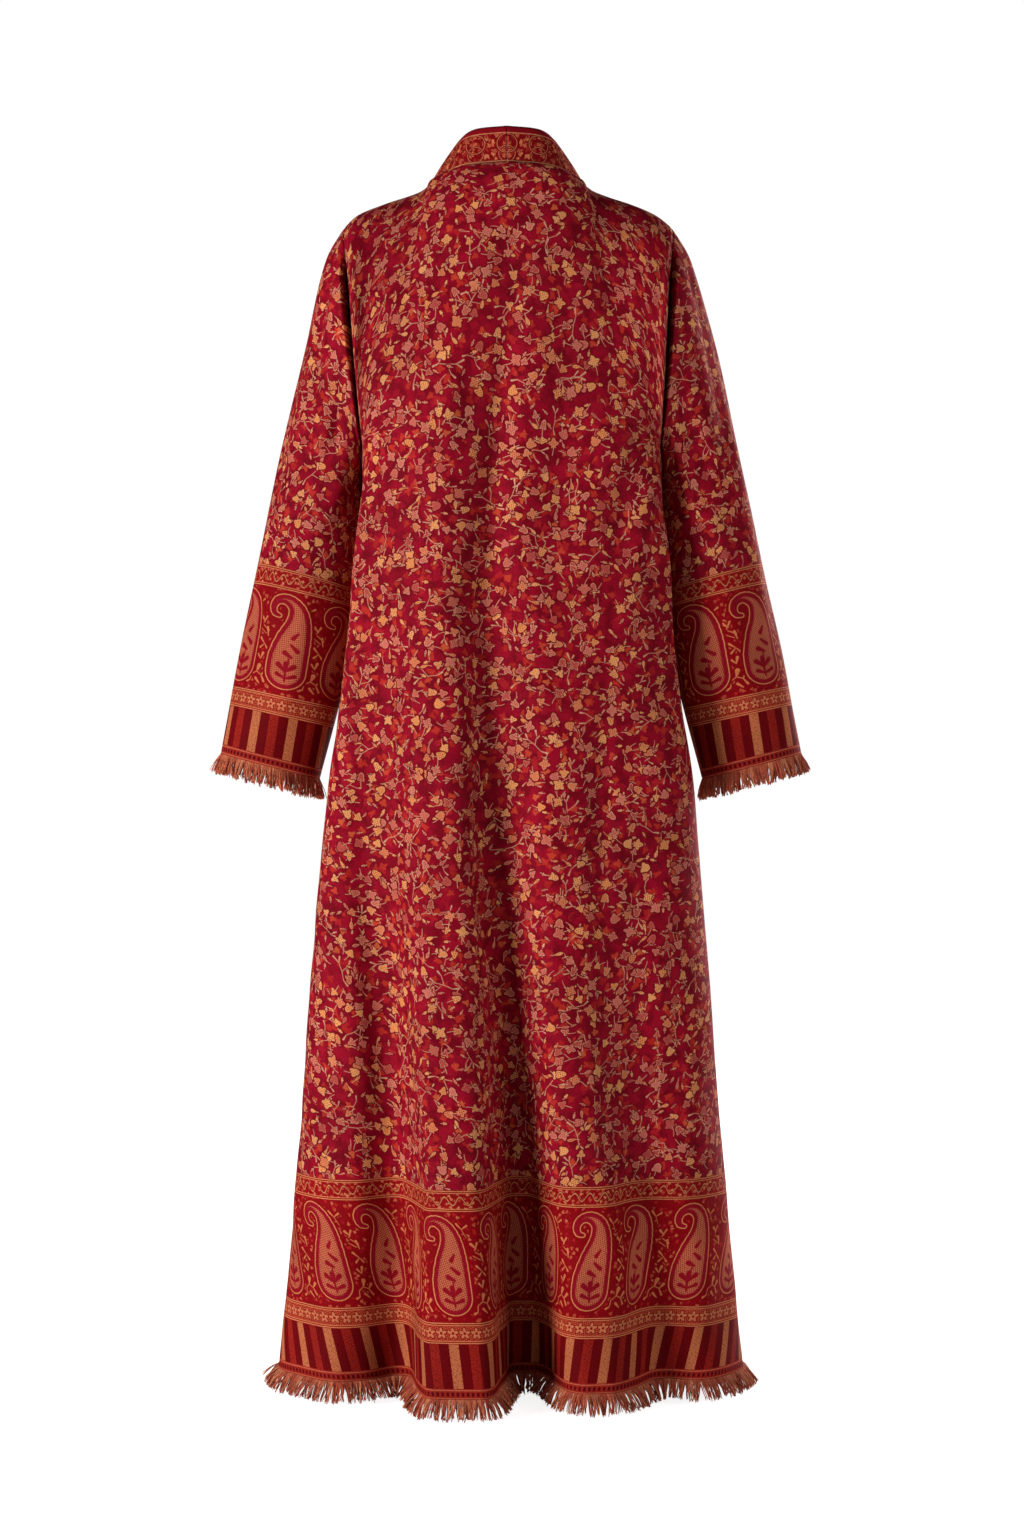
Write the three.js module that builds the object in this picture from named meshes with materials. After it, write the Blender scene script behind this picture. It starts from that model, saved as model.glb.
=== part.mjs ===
import * as THREE from "three";

// A full-length woven abaya, open down the front, filled out as when it is worn.
// Millimetres, +Z up. The wearer faces -Y, so +X is the wearer's left and +Y the back.
// The origin is the middle of the neck opening, level with the side neck points, where the wearer holds it up.

const clothWall = 1.6; // thickness of every cloth piece
const seamGap = 0.3; // between two pieces that are sewn together
const hemZ = -1355; // finished length below the side neck point, without fringe
const underarmZ = -290;
const shoulderTipX = 190; // half the width from one armhole seam to the other
const frontEdgeX = 1.5; // half the slit between the two front edges
const neckLean = 4.5; // the neck and shoulders hang this far to the wearer's left of the skirt
const ringSquareness = 0.7; // under 1 gives a flatter back and front than an ellipse
const foldSag = 0.03; // share of a fold's height by which its hem hangs lower
const armholeBulge = { back: 74, front: 78 }; // how far the armhole curves away from the shoulder line

// Rows and columns of the cloth grids.
const bodyRows = { skirt: 14, yoke: 10 };
const columnsPerHalf = { backNeck: 7, backShoulder: 13, frontNeck: 10, frontShoulder: 10 };
const sleeveRows = 13;
const collarRows = 4;

// The body from the underarm to the hem. The arm presses the side in by pocket, which sets in at pocketStart
// on the back, as a share of the way round from the middle to the side seam.
const bodySections = [
  { z: -1355, halfWidth: 268, back: 98, front: 118, pocket: 0, pocketStart: 0.72 },
  { z: -1060, halfWidth: 241, back: 96, front: 116, pocket: 0, pocketStart: 0.72 },
  { z: -760, halfWidth: 218, back: 93, front: 113, pocket: 0, pocketStart: 0.72 },
  { z: -640, halfWidth: 211, back: 91, front: 112, pocket: 6, pocketStart: 0.72 },
  { z: -520, halfWidth: 201, back: 90, front: 112, pocket: 17, pocketStart: 0.72 },
  { z: -400, halfWidth: 193, back: 92, front: 114, pocket: 22, pocketStart: 0.7 },
  { z: -290, halfWidth: 186, back: 98, front: 118, pocket: 14, pocketStart: 0.46 },
];

// Hanging folds, largest at the hem: where each starts, its middle there and at the hem, and its size at the hem.
const backFolds = [
  { startZ: -140, startX: 88, hemX: 57, height: 70, halfWidth: 48, edge: 26 },
  { startZ: -200, startX: 40, hemX: -18, height: -50, halfWidth: 30, edge: 36 },
  { startZ: -520, startX: -52, hemX: -97, height: 50, halfWidth: 42, edge: 60 },
  { startZ: -240, startX: 152, hemX: 127, height: -28, halfWidth: 22, edge: 40 },
  { startZ: -520, startX: -125, hemX: -170, height: -6, halfWidth: 28, edge: 50 },
  { startZ: -420, startX: 185, hemX: 204, height: 13, halfWidth: 24, edge: 40 },
  { startZ: -520, startX: -178, hemX: -219, height: 10, halfWidth: 24, edge: 40 },
];
const frontFolds = [
  { startZ: -230, startX: 88, hemX: 118, height: 46, halfWidth: 38, edge: 44 },
  { startZ: -330, startX: 40, hemX: 56, height: -26, halfWidth: 26, edge: 40 },
  { startZ: -420, startX: 142, hemX: 182, height: -22, halfWidth: 22, edge: 40 },
  { startZ: -230, startX: -82, hemX: -96, height: 52, halfWidth: 40, edge: 40 },
  { startZ: -300, startX: -36, hemX: -38, height: -24, halfWidth: 22, edge: 40 },
  { startZ: -460, startX: -140, hemX: -164, height: -28, halfWidth: 24, edge: 44 },
  { startZ: -520, startX: -175, hemX: -216, height: 14, halfWidth: 24, edge: 40 },
];
const newFoldEdge = 80; // a fold's side is this soft where it starts
const foldGrowth = 1.35;

// The neck seam, from the middle of the back round to the front edge, and the collar's free edge above it.
const neckLoop = [
  { turn: 0, x: 0, y: 64, z: 26, topX: 0, topY: 53, topZ: 70 },
  { turn: 0.2, x: 50, y: 55, z: 23, topX: 37, topY: 44, topZ: 68 },
  { turn: 0.36, x: 80, y: 29, z: 15, topX: 54, topY: 22, topZ: 62 },
  { turn: 0.47, x: 90, y: 0, z: 9, topX: 59, topY: -2, topZ: 54 },
  { turn: 0.62, x: 82, y: -37, z: -16, topX: 57, topY: -33, topZ: 36 },
  { turn: 0.8, x: 51, y: -77, z: -53, topX: 38, topY: -67, topZ: 2 },
  { turn: 1, x: 2, y: -102, z: -92, topX: 3, topY: -93, topZ: -50 },
];
const sideNeckTurn = 0.47;

// The shoulder seam, from the side neck point out to the armhole.
const shoulderSeam = [
  { out: 0, x: 90, z: 9 },
  { out: 0.1, x: 99, z: 3 },
  { out: 0.24, x: 115, z: -3 },
  { out: 0.5, x: 142, z: -12 },
  { out: 0.78, x: 171, z: -24 },
  { out: 1, x: shoulderTipX, z: -39 },
];

// The sleeve's sections, from the armhole to the cuff: its outer and inner line, depth and middle.
const sleeveSections = [
  { down: 0, outX: 190, outZ: -39, inX: 172, inZ: -290, halfDepth: 76, midY: -2 },
  { down: 0.08, outX: 212, outZ: -76, inX: 176, inZ: -297, halfDepth: 71, midY: -8 },
  { down: 0.2, outX: 235, outZ: -155, inX: 177, inZ: -312, halfDepth: 65, midY: -16 },
  { down: 0.36, outX: 261, outZ: -260, inX: 177, inZ: -348, halfDepth: 60, midY: -26 },
  { down: 0.55, outX: 290, outZ: -391, inX: 181, inZ: -428, halfDepth: 56, midY: -34 },
  { down: 0.78, outX: 320, outZ: -534, inX: 200, inZ: -560, halfDepth: 51, midY: -40 },
  { down: 1, outX: 341, outZ: -646, inX: 225, inZ: -676, halfDepth: 47, midY: -44 },
];
const armholeReach = 0.3; // share of the sleeve over which the armhole's shape dies out

// Fringe: twisted locks that hang from a narrow strip along the hem and cuffs.
const fringe = { stripHeight: 4, length: 25, hemSplay: 45, cuffSplay: 14, lockShare: 0.68, tipShare: 0.6 };
const lockCount = { back: 88, front: 44, cuff: 32 };

const back = 1;
const front = -1;
const quarterTurn = Math.PI / 2;

const smoothStep = (low, high, value) => {
  const share = THREE.MathUtils.clamp((value - low) / (high - low), 0, 1);
  return share * share * (3 - 2 * share);
};

// A repeatable number from -1 to 1 for lock number k.
const wobble = (k, salt) => {
  const turned = Math.sin(k * 12.9898 + salt * 78.233) * 43758.5453;
  return 2 * (turned - Math.floor(turned)) - 1;
};

// A table's columns at a value of its key column, on a smooth curve through its rows.
function rowAt(table, key, value) {
  const last = table.length - 1;
  const wanted = THREE.MathUtils.clamp(value, table[0][key], table[last][key]);
  let low = 0;
  while (low < last - 1 && table[low + 1][key] < wanted) low += 1;
  const span = table[low + 1][key] - table[low][key];
  const share = (wanted - table[low][key]) / span;
  const slope = (index, column) => {
    const before = table[Math.max(index - 1, 0)];
    const after = table[Math.min(index + 1, last)];
    return (after[column] - before[column]) / (after[key] - before[key]);
  };
  const found = {};
  for (const column of Object.keys(table[low])) {
    const start = table[low][column];
    const end = table[low + 1][column];
    const rise = slope(low, column) * span;
    const settle = slope(low + 1, column) * span;
    found[column] =
      start +
      share * (rise + share * (3 * (end - start) - 2 * rise - settle + share * (rise + settle - 2 * (end - start))));
  }
  return found;
}

// How far the neck and shoulders hang to the wearer's left at a height.
const leanAt = (z) => neckLean * smoothStep(-90, -15, z);

// How far the folds of one side stand out at a place.
function foldAt(folds, x, z) {
  let depth = 0;
  for (const fold of folds) {
    const grown = THREE.MathUtils.clamp((fold.startZ - z) / (fold.startZ - hemZ), 0, 1);
    const middle = THREE.MathUtils.lerp(fold.startX, fold.hemX, grown);
    const edge = THREE.MathUtils.lerp(newFoldEdge, fold.edge, grown);
    const away = Math.abs(x - middle);
    const ramp = 1 - smoothStep(fold.halfWidth - edge / 2, fold.halfWidth + edge / 2, away);
    depth += fold.height * grown ** foldGrowth * ramp;
  }
  return depth;
}

// A point of the skirt's ring: t runs from -1 at the wearer's right seam to 1 at the left one.
function skirtPoint(side, t, z) {
  const section = rowAt(bodySections, "z", z);
  const turn = Math.abs(t) * quarterTurn;
  const pocketStart = side === back ? section.pocketStart : 0.5;
  const pressed = section.pocket * smoothStep(pocketStart, 1, Math.abs(t));
  const x = Math.sign(t) * (section.halfWidth * Math.sin(turn) - pressed);
  const depth = side === back ? section.back : section.front;
  const round = depth * Math.max(Math.cos(turn), 0) ** ringSquareness;
  const fold = foldAt(side === back ? backFolds : frontFolds, x, z) * smoothStep(1, 0.86, Math.abs(t));
  return new THREE.Vector3(x, side * (round + fold), z - foldSag * fold);
}

// A point of the neck seam and shoulder seam, which top the body: |t| is 1 at the armhole.
const neckShare = { [back]: 0.46, [front]: 0.5 };
function topPoint(side, t) {
  const across = Math.abs(t);
  const neckEnd = neckShare[side];
  const point = new THREE.Vector3();
  if (across <= neckEnd) {
    const share = across / neckEnd;
    const turn = side === back ? share * sideNeckTurn : 1 - share * (1 - sideNeckTurn);
    const seam = rowAt(neckLoop, "turn", turn);
    point.set(seam.x, seam.y, seam.z);
  } else {
    const seam = rowAt(shoulderSeam, "out", (across - neckEnd) / (1 - neckEnd));
    point.set(seam.x, 0, seam.z);
  }
  point.x = point.x * (Math.sign(t) || 1) + leanAt(point.z);
  return point;
}

// A point between the underarm and the top: rise is 0 at the underarm and a quarter turn at the top.
function yokePoint(side, t, rise) {
  const across = Math.abs(t);
  const ring = skirtPoint(side, t, underarmZ);
  const top = topPoint(side, t);
  const inward = Math.cos(rise) ** 0.6;
  const spread = Math.sin(rise) ** 2;
  const lift = Math.sin(rise) ** (1 + across ** 4);
  const bulge = armholeBulge[side === back ? "back" : "front"] * Math.sin(2 * rise) ** 0.8 * across ** 3;
  return new THREE.Vector3(
    THREE.MathUtils.lerp(ring.x, top.x, spread),
    ring.y * inward + top.y * (1 - inward) + side * bulge,
    ring.z + (top.z - ring.z) * lift,
  );
}

// Points along one row at the wanted shares of its length.
function sampleRow(pointAt, from, to, shares) {
  const steps = 240;
  const points = Array.from({ length: steps + 1 }, (_, i) => pointAt(THREE.MathUtils.lerp(from, to, i / steps)));
  const along = [0];
  for (let i = 1; i <= steps; i += 1) along.push(along[i - 1] + points[i].distanceTo(points[i - 1]));
  return shares.map((share) => {
    const wanted = share * along[steps];
    let i = 1;
    while (i < steps && along[i] < wanted) i += 1;
    return points[i - 1].clone().lerp(points[i], (wanted - along[i - 1]) / (along[i] - along[i - 1]));
  });
}

// Shares of a row's length for its columns, from its middle edge to its side: even at the underarm and
// below, and with the columns drawn to the side neck point at the top.
function columnShares(side, rise) {
  const neck = side === back ? columnsPerHalf.backNeck : columnsPerHalf.frontNeck;
  const shoulder = side === back ? columnsPerHalf.backShoulder : columnsPerHalf.frontShoulder;
  const start = side === back ? 0 : 0.001;
  const length = (from, to) => {
    let sum = 0;
    const steps = 60;
    for (let i = 0; i < steps; i += 1) {
      const a = topPoint(side, THREE.MathUtils.lerp(from, to, i / steps));
      sum += a.distanceTo(topPoint(side, THREE.MathUtils.lerp(from, to, (i + 1) / steps)));
    }
    return sum;
  };
  const neckLength = length(start, neckShare[side]);
  const neckPart = neckLength / (neckLength + length(neckShare[side], 1));
  const pull = (rise / quarterTurn) ** 1.5;
  return Array.from({ length: neck + shoulder + 1 }, (_, i) => {
    const even = i / (neck + shoulder);
    const drawn = i <= neck ? (neckPart * i) / neck : neckPart + ((1 - neckPart) * (i - neck)) / shoulder;
    return THREE.MathUtils.lerp(even, drawn, pull);
  });
}

// The outer points of half a body panel, from its middle edge to the wearer's left side seam and armhole.
function halfPanel(side, hand) {
  const rows = [];
  for (let i = 0; i <= bodyRows.skirt + bodyRows.yoke; i += 1) {
    const rise = (Math.max(i - bodyRows.skirt, 0) / bodyRows.yoke) * quarterTurn;
    const z = THREE.MathUtils.lerp(hemZ, underarmZ, Math.min(i / bodyRows.skirt, 1));
    const pointAt = (t) => (rise > 0 ? yokePoint(side, hand * t, rise) : skirtPoint(side, hand * t, z));
    rows.push(sampleRow(pointAt, 0, 1, columnShares(side, rise)));
  }
  return rows;
}

// Unit vectors that point out of the cloth at every point of a grid.
function gridNormals(rows, wraps) {
  const columns = rows[0].length;
  return rows.map((row, i) =>
    row.map((_, j) => {
      const below = rows[Math.max(i - 1, 0)][j];
      const above = rows[Math.min(i + 1, rows.length - 1)][j];
      const before = wraps ? row[(j + columns - 1) % columns] : row[Math.max(j - 1, 0)];
      const after = wraps ? row[(j + 1) % columns] : row[Math.min(j + 1, columns - 1)];
      return new THREE.Vector3().crossVectors(after.clone().sub(before), above.clone().sub(below)).normalize();
    }),
  );
}

// A closed wall from its outer points and the inward step at each of them.
function wallGeometry(rows, inward, wraps) {
  const columns = rows[0].length;
  const count = rows.length * columns;
  const positions = [];
  rows.forEach((row) => row.forEach((p) => positions.push(p.x, p.y, p.z)));
  rows.forEach((row, i) =>
    row.forEach((p, j) => positions.push(p.x + inward[i][j].x, p.y + inward[i][j].y, p.z + inward[i][j].z)),
  );
  const faces = [];
  const quad = (a, b, c, d) => faces.push(a, b, c, a, c, d);
  const at = (i, j) => i * columns + (j % columns);
  const lastRow = rows.length - 1;
  const spans = wraps ? columns : columns - 1;
  for (let j = 0; j < spans; j += 1) {
    for (let i = 0; i < lastRow; i += 1) {
      quad(at(i, j), at(i, j + 1), at(i + 1, j + 1), at(i + 1, j));
      quad(count + at(i, j), count + at(i + 1, j), count + at(i + 1, j + 1), count + at(i, j + 1));
    }
    quad(at(0, j), count + at(0, j), count + at(0, j + 1), at(0, j + 1));
    quad(at(lastRow, j), at(lastRow, j + 1), count + at(lastRow, j + 1), count + at(lastRow, j));
  }
  for (let i = 0; i < lastRow && !wraps; i += 1) {
    quad(at(i, 0), at(i + 1, 0), count + at(i + 1, 0), count + at(i, 0));
    const j = columns - 1;
    quad(at(i, j), count + at(i, j), count + at(i + 1, j), at(i + 1, j));
  }
  const geometry = new THREE.BufferGeometry();
  geometry.setAttribute("position", new THREE.Float32BufferAttribute(positions, 3));
  geometry.setIndex(faces);
  return geometry;
}

// Columns run so that the cloth's outside is to the right-hand side of (along the row) x (up).
const facingOut = (rows, flipped) => (flipped ? rows.map((row) => [...row].reverse()) : rows);

// The back, or one front, as outer points and inward steps, with its rims squared to its seams.
function bodyPanel(side, hand) {
  let rows;
  if (side === back) {
    const left = halfPanel(back, 1);
    const right = halfPanel(back, -1);
    rows = left.map((row, i) => [...[...row].reverse(), ...right[i].slice(1)]);
  } else {
    rows = facingOut(halfPanel(front, hand), hand < 0);
  }
  const columns = rows[0].length;
  const normals = gridNormals(rows, false);
  const inward = normals.map((row) => row.map((n) => n.clone().multiplyScalar(-clothWall)));
  const sideColumns = side === back ? [0, columns - 1] : [hand > 0 ? columns - 1 : 0];
  const neck = side === back ? columnsPerHalf.backNeck : columnsPerHalf.frontNeck;
  rows.forEach((row, i) =>
    row.forEach((point, j) => {
      const fromMiddle = side === back ? Math.abs(j - (columns - 1) / 2) : hand > 0 ? j : columns - 1 - j;
      const step = inward[i][j];
      const isTop = i === rows.length - 1;
      if (isTop && fromMiddle < neck) {
        step.set(-point.x, -point.y, 0).setLength(clothWall); // level, towards the neck's axis
      }
      if (isTop && fromMiddle >= neck) {
        point.y += (side * seamGap) / 2;
        step.set(0, 0, -clothWall);
      }
      if (sideColumns.includes(j) && i <= bodyRows.skirt) {
        point.y += (side * seamGap) / 2;
        step.set(-Math.sign(point.x) * clothWall, 0, 0);
      } else if (sideColumns.includes(j) && !isTop && step.x * point.x > 0) {
        step.setX(0).setLength(clothWall);
      }
      if (side === front && fromMiddle === 0) {
        point.x = hand * frontEdgeX;
        step.setX(0).setLength(clothWall);
      }
    }),
  );
  return { rows, inward };
}

// The armhole seam as a closed loop: up the back from the underarm, and down the front.
function armholeLoop(hand) {
  const backEdge = halfPanel(back, hand).slice(bodyRows.skirt).map((row) => row.at(-1));
  const frontEdge = halfPanel(front, hand).slice(bodyRows.skirt).map((row) => row.at(-1));
  return [...backEdge, ...frontEdge.slice(1, -1).reverse()];
}

// A sleeve's outer points and inward steps. Its rings turn from the upright armhole to the cuff.
function sleevePanel(hand) {
  const loop = armholeLoop(hand);
  const ringAt = (down) => {
    const section = rowAt(sleeveSections, "down", down);
    const outer = new THREE.Vector3(hand * section.outX, section.midY, section.outZ);
    const inner = new THREE.Vector3(hand * section.inX, section.midY, section.inZ);
    const middle = outer.clone().lerp(inner, 0.5);
    const half = outer.clone().sub(middle);
    return loop.map((_, k) => {
      const turn = Math.PI - (2 * Math.PI * k) / loop.length;
      const point = middle.clone().addScaledVector(half, Math.cos(turn));
      point.y += section.halfDepth * Math.sin(turn);
      return point;
    });
  };
  const start = ringAt(0);
  const rows = [];
  for (let i = 0; i <= sleeveRows; i += 1) {
    const down = i / sleeveRows;
    const left = 1 - smoothStep(0, armholeReach, down);
    const ring = ringAt(down);
    ring.forEach((point, k) => {
      point.addScaledVector(loop[k].clone().sub(start[k]), left);
      if (i === 0) point.x += hand * seamGap;
    });
    rows.push(ring);
  }
  const turned = facingOut(rows, hand < 0);
  const inward = gridNormals(turned, true).map((row, i) =>
    row.map((n) => (i === 0 ? n.setX(0).setLength(-clothWall) : n.multiplyScalar(-clothWall))),
  );
  return { rows: turned, inward };
}

// Half the collar, from the middle of the back round to the front edge, standing on the neck seam.
function collarPanel(hand) {
  const columns = columnsPerHalf.backNeck + columnsPerHalf.frontNeck;
  const base = [
    ...halfPanel(back, hand).at(-1).slice(0, columnsPerHalf.backNeck + 1),
    ...halfPanel(front, hand).at(-1).slice(0, columnsPerHalf.frontNeck).reverse(),
  ];
  const rows = [];
  for (let i = 0; i <= collarRows; i += 1) {
    const up = i / collarRows;
    rows.push(
      base.map((seam, j) => {
        const nearBack = j <= columnsPerHalf.backNeck;
        const turn = nearBack
          ? (j / columnsPerHalf.backNeck) * sideNeckTurn
          : sideNeckTurn + ((j - columnsPerHalf.backNeck) / columnsPerHalf.frontNeck) * (1 - sideNeckTurn);
        const edge = rowAt(neckLoop, "turn", turn);
        const top = new THREE.Vector3(hand * edge.topX + leanAt(edge.topZ), edge.topY, edge.topZ);
        const foot = seam.clone().add(top.clone().sub(seam).setLength(seamGap * 1.5));
        const point = foot.lerp(top, up);
        if (j === 0) point.x = leanAt(point.z) + (hand * seamGap) / 2;
        if (j === columns) point.x = leanAt(point.z) + hand * frontEdgeX;
        return point;
      }),
    );
  }
  const turned = facingOut(rows, hand > 0);
  const inward = gridNormals(turned, false).map((row, i) =>
    row.map((n, j) => {
      const point = turned[i][j];
      const step = n.multiplyScalar(-clothWall);
      if (i === 0) step.set(-point.x, -point.y, 0).setLength(clothWall);
      if (j === 0 || j === columns) step.setX(0).setLength(clothWall);
      return step;
    }),
  );
  return { rows: turned, inward };
}

// A strip with hanging locks below the lowest row of a piece, which lies seamGap off its edge.
function fringeGeometry(edge, inner, wraps, count, splay, drop, seed) {
  const closed = wraps ? [...edge.keys(), 0] : [...edge.keys()];
  const outerLine = closed.map((k) => edge[k]);
  const innerLine = closed.map((k) => inner[k]);
  const along = [0];
  for (let i = 1; i < outerLine.length; i += 1) {
    along.push(along[i - 1] + outerLine[i].distanceTo(outerLine[i - 1]));
  }
  const total = along.at(-1);
  const at = (line, share) => {
    const wanted = share * total;
    let i = 1;
    while (i < line.length - 1 && along[i] < wanted) i += 1;
    return line[i - 1].clone().lerp(line[i], (wanted - along[i - 1]) / (along[i] - along[i - 1]));
  };
  const shares = [];
  for (let k = 0; k < count; k += 1) shares.push(k / count, (k + fringe.lockShare) / count);
  if (!wraps) shares.push(1);
  const stops = shares.map((share) => {
    const outer = at(outerLine, share);
    const innerPoint = at(innerLine, share);
    const down = drop(outer);
    return {
      outerTop: outer.clone().addScaledVector(down, seamGap),
      innerTop: innerPoint.clone().addScaledVector(down, seamGap),
      outerFoot: outer.clone().addScaledVector(down, fringe.stripHeight),
      innerFoot: innerPoint.clone().addScaledVector(down, fringe.stripHeight),
      out: outer.clone().sub(innerPoint).normalize(),
      down,
    };
  });
  const positions = [];
  const faces = [];
  const put = (p) => positions.push(p.x, p.y, p.z) / 3 - 1;
  const quad = (a, b, c, d) => faces.push(a, b, c, a, c, d);
  const ids = stops.map((s) => [s.outerTop, s.innerTop, s.outerFoot, s.innerFoot].map(put));
  const spans = wraps ? stops.length : stops.length - 1;
  for (let i = 0; i < spans; i += 1) {
    const next = (i + 1) % stops.length;
    const [outerTop, innerTop, outerFoot, innerFoot] = ids[i];
    const [outerTopNext, innerTopNext, outerFootNext, innerFootNext] = ids[next];
    quad(outerFoot, outerFootNext, outerTopNext, outerTop);
    quad(innerTop, innerTopNext, innerFootNext, innerFoot);
    quad(outerTop, outerTopNext, innerTopNext, innerTop);
    if (i % 2 === 1) {
      quad(innerFoot, innerFootNext, outerFootNext, outerFoot);
      continue;
    }
    const a = stops[i];
    const b = stops[next];
    const tilt = THREE.MathUtils.degToRad(splay + 7 * wobble(i, seed));
    const reach = fringe.length * (1 + 0.1 * wobble(i, seed + 1));
    const root = a.outerFoot.clone().add(b.outerFoot).add(a.innerFoot).add(b.innerFoot).multiplyScalar(0.25);
    const sideways = b.outerFoot.clone().sub(a.outerFoot);
    const tip = root
      .addScaledVector(a.down, reach * Math.cos(tilt))
      .addScaledVector(a.out, reach * Math.sin(tilt))
      .addScaledVector(sideways, 0.25 * wobble(i, seed + 2));
    const tipStart = put(tip.clone().addScaledVector(sideways, -fringe.tipShare / 2));
    const tipEnd = put(tip.clone().addScaledVector(sideways, fringe.tipShare / 2));
    quad(tipStart, tipEnd, outerFootNext, outerFoot);
    quad(innerFoot, innerFootNext, tipEnd, tipStart);
    faces.push(outerFoot, innerFoot, tipStart);
    faces.push(innerFootNext, outerFootNext, tipEnd);
  }
  if (!wraps) {
    const [outerTop, innerTop, outerFoot, innerFoot] = ids[0];
    const [outerTopEnd, innerTopEnd, outerFootEnd, innerFootEnd] = ids.at(-1);
    quad(outerFoot, outerTop, innerTop, innerFoot);
    quad(outerFootEnd, innerFootEnd, innerTopEnd, outerTopEnd);
  }
  const geometry = new THREE.BufferGeometry();
  geometry.setAttribute("position", new THREE.Float32BufferAttribute(positions, 3));
  geometry.setIndex(faces);
  return geometry;
}

const wovenRed = new THREE.MeshStandardMaterial({ color: "#85131f", roughness: 0.8, metalness: 0 });
const borderRed = new THREE.MeshStandardMaterial({ color: "#6a0f17", roughness: 0.8, metalness: 0 });
const fringeYarn = new THREE.MeshStandardMaterial({ color: "#a4583f", roughness: 0.9, metalness: 0 });

const abaya = new THREE.Group();

function addMesh(name, geometry, material) {
  const mesh = new THREE.Mesh(geometry, material);
  mesh.name = name;
  abaya.add(mesh);
}

function addWall(name, panel, material, wraps = false) {
  addMesh(name, wallGeometry(panel.rows, panel.inward, wraps), material);
}

function addFringe(name, panel, cuff, wraps, count, splay, drop, seed) {
  const edge = panel.rows.at(cuff ? -1 : 0);
  const inward = panel.inward.at(cuff ? -1 : 0);
  const inner = edge.map((point, j) => point.clone().add(inward[j]));
  const turned = cuff ? [[...edge].reverse(), [...inner].reverse()] : [edge, inner];
  addMesh(name, fringeGeometry(...turned, wraps, count, splay, drop, seed), fringeYarn);
}

const straightDown = () => new THREE.Vector3(0, 0, -1);
const backPanel = bodyPanel(back, 0);
addWall("back", backPanel, wovenRed);
addFringe("fringe_back", backPanel, false, false, lockCount.back, fringe.hemSplay, straightDown, 1);

for (const [hand, name] of [[1, "left"], [-1, "right"]]) {
  const frontPanel = bodyPanel(front, hand);
  addWall(`front_${name}`, frontPanel, wovenRed);
  addFringe(`fringe_front_${name}`, frontPanel, false, false, lockCount.front, fringe.hemSplay, straightDown, 2 + hand);
  const sleeve = sleevePanel(hand);
  addWall(`sleeve_${name}`, sleeve, wovenRed, true);
  const cuff = sleeveSections.at(-1);
  const down = new THREE.Vector3(hand * (cuff.inZ - cuff.outZ), 0, cuff.outX - cuff.inX).normalize().negate();
  addFringe(`fringe_cuff_${name}`, sleeve, true, true, lockCount.cuff, fringe.cuffSplay, () => down, 5 + hand);
  addWall(`collar_${name}`, collarPanel(hand), borderRed);
}

export default abaya;
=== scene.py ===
import math

import bmesh
import bpy
import numpy as np
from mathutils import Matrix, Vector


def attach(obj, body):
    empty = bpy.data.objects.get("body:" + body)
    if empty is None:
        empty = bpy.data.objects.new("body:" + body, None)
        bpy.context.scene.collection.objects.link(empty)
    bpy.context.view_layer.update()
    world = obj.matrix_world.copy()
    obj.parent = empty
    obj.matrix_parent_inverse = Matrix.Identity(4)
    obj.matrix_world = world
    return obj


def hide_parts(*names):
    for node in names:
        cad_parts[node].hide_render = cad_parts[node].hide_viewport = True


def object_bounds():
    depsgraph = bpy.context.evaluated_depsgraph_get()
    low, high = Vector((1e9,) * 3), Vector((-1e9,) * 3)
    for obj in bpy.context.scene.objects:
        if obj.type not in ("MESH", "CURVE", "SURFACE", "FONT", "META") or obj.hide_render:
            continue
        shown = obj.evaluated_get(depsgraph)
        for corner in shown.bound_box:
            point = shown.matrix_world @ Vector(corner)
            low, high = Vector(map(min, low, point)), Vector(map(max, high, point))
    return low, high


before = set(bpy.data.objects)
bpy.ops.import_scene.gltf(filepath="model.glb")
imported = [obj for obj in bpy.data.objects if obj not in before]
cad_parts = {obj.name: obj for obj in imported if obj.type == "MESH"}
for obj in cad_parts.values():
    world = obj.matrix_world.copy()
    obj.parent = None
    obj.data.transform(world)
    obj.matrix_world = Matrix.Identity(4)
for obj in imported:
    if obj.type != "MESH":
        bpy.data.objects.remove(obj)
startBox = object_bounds()

mm = 0.001
fullTurn = 6.283

# The garment's sizes in millimetres, as in the source of the part.
hemZ = -1355
underarmZ = -290
frontEdgeX = 1.5
seamGap = 0.3
neckLean = 4.5
sideNeckTurn = 0.47
neckShare = {"back": 0.46, "front": 0.5}
armholeBulge = {"back": 74, "front": 78}
facing = {"back": 1, "front": -1}
clothThickness = 1.4

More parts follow.
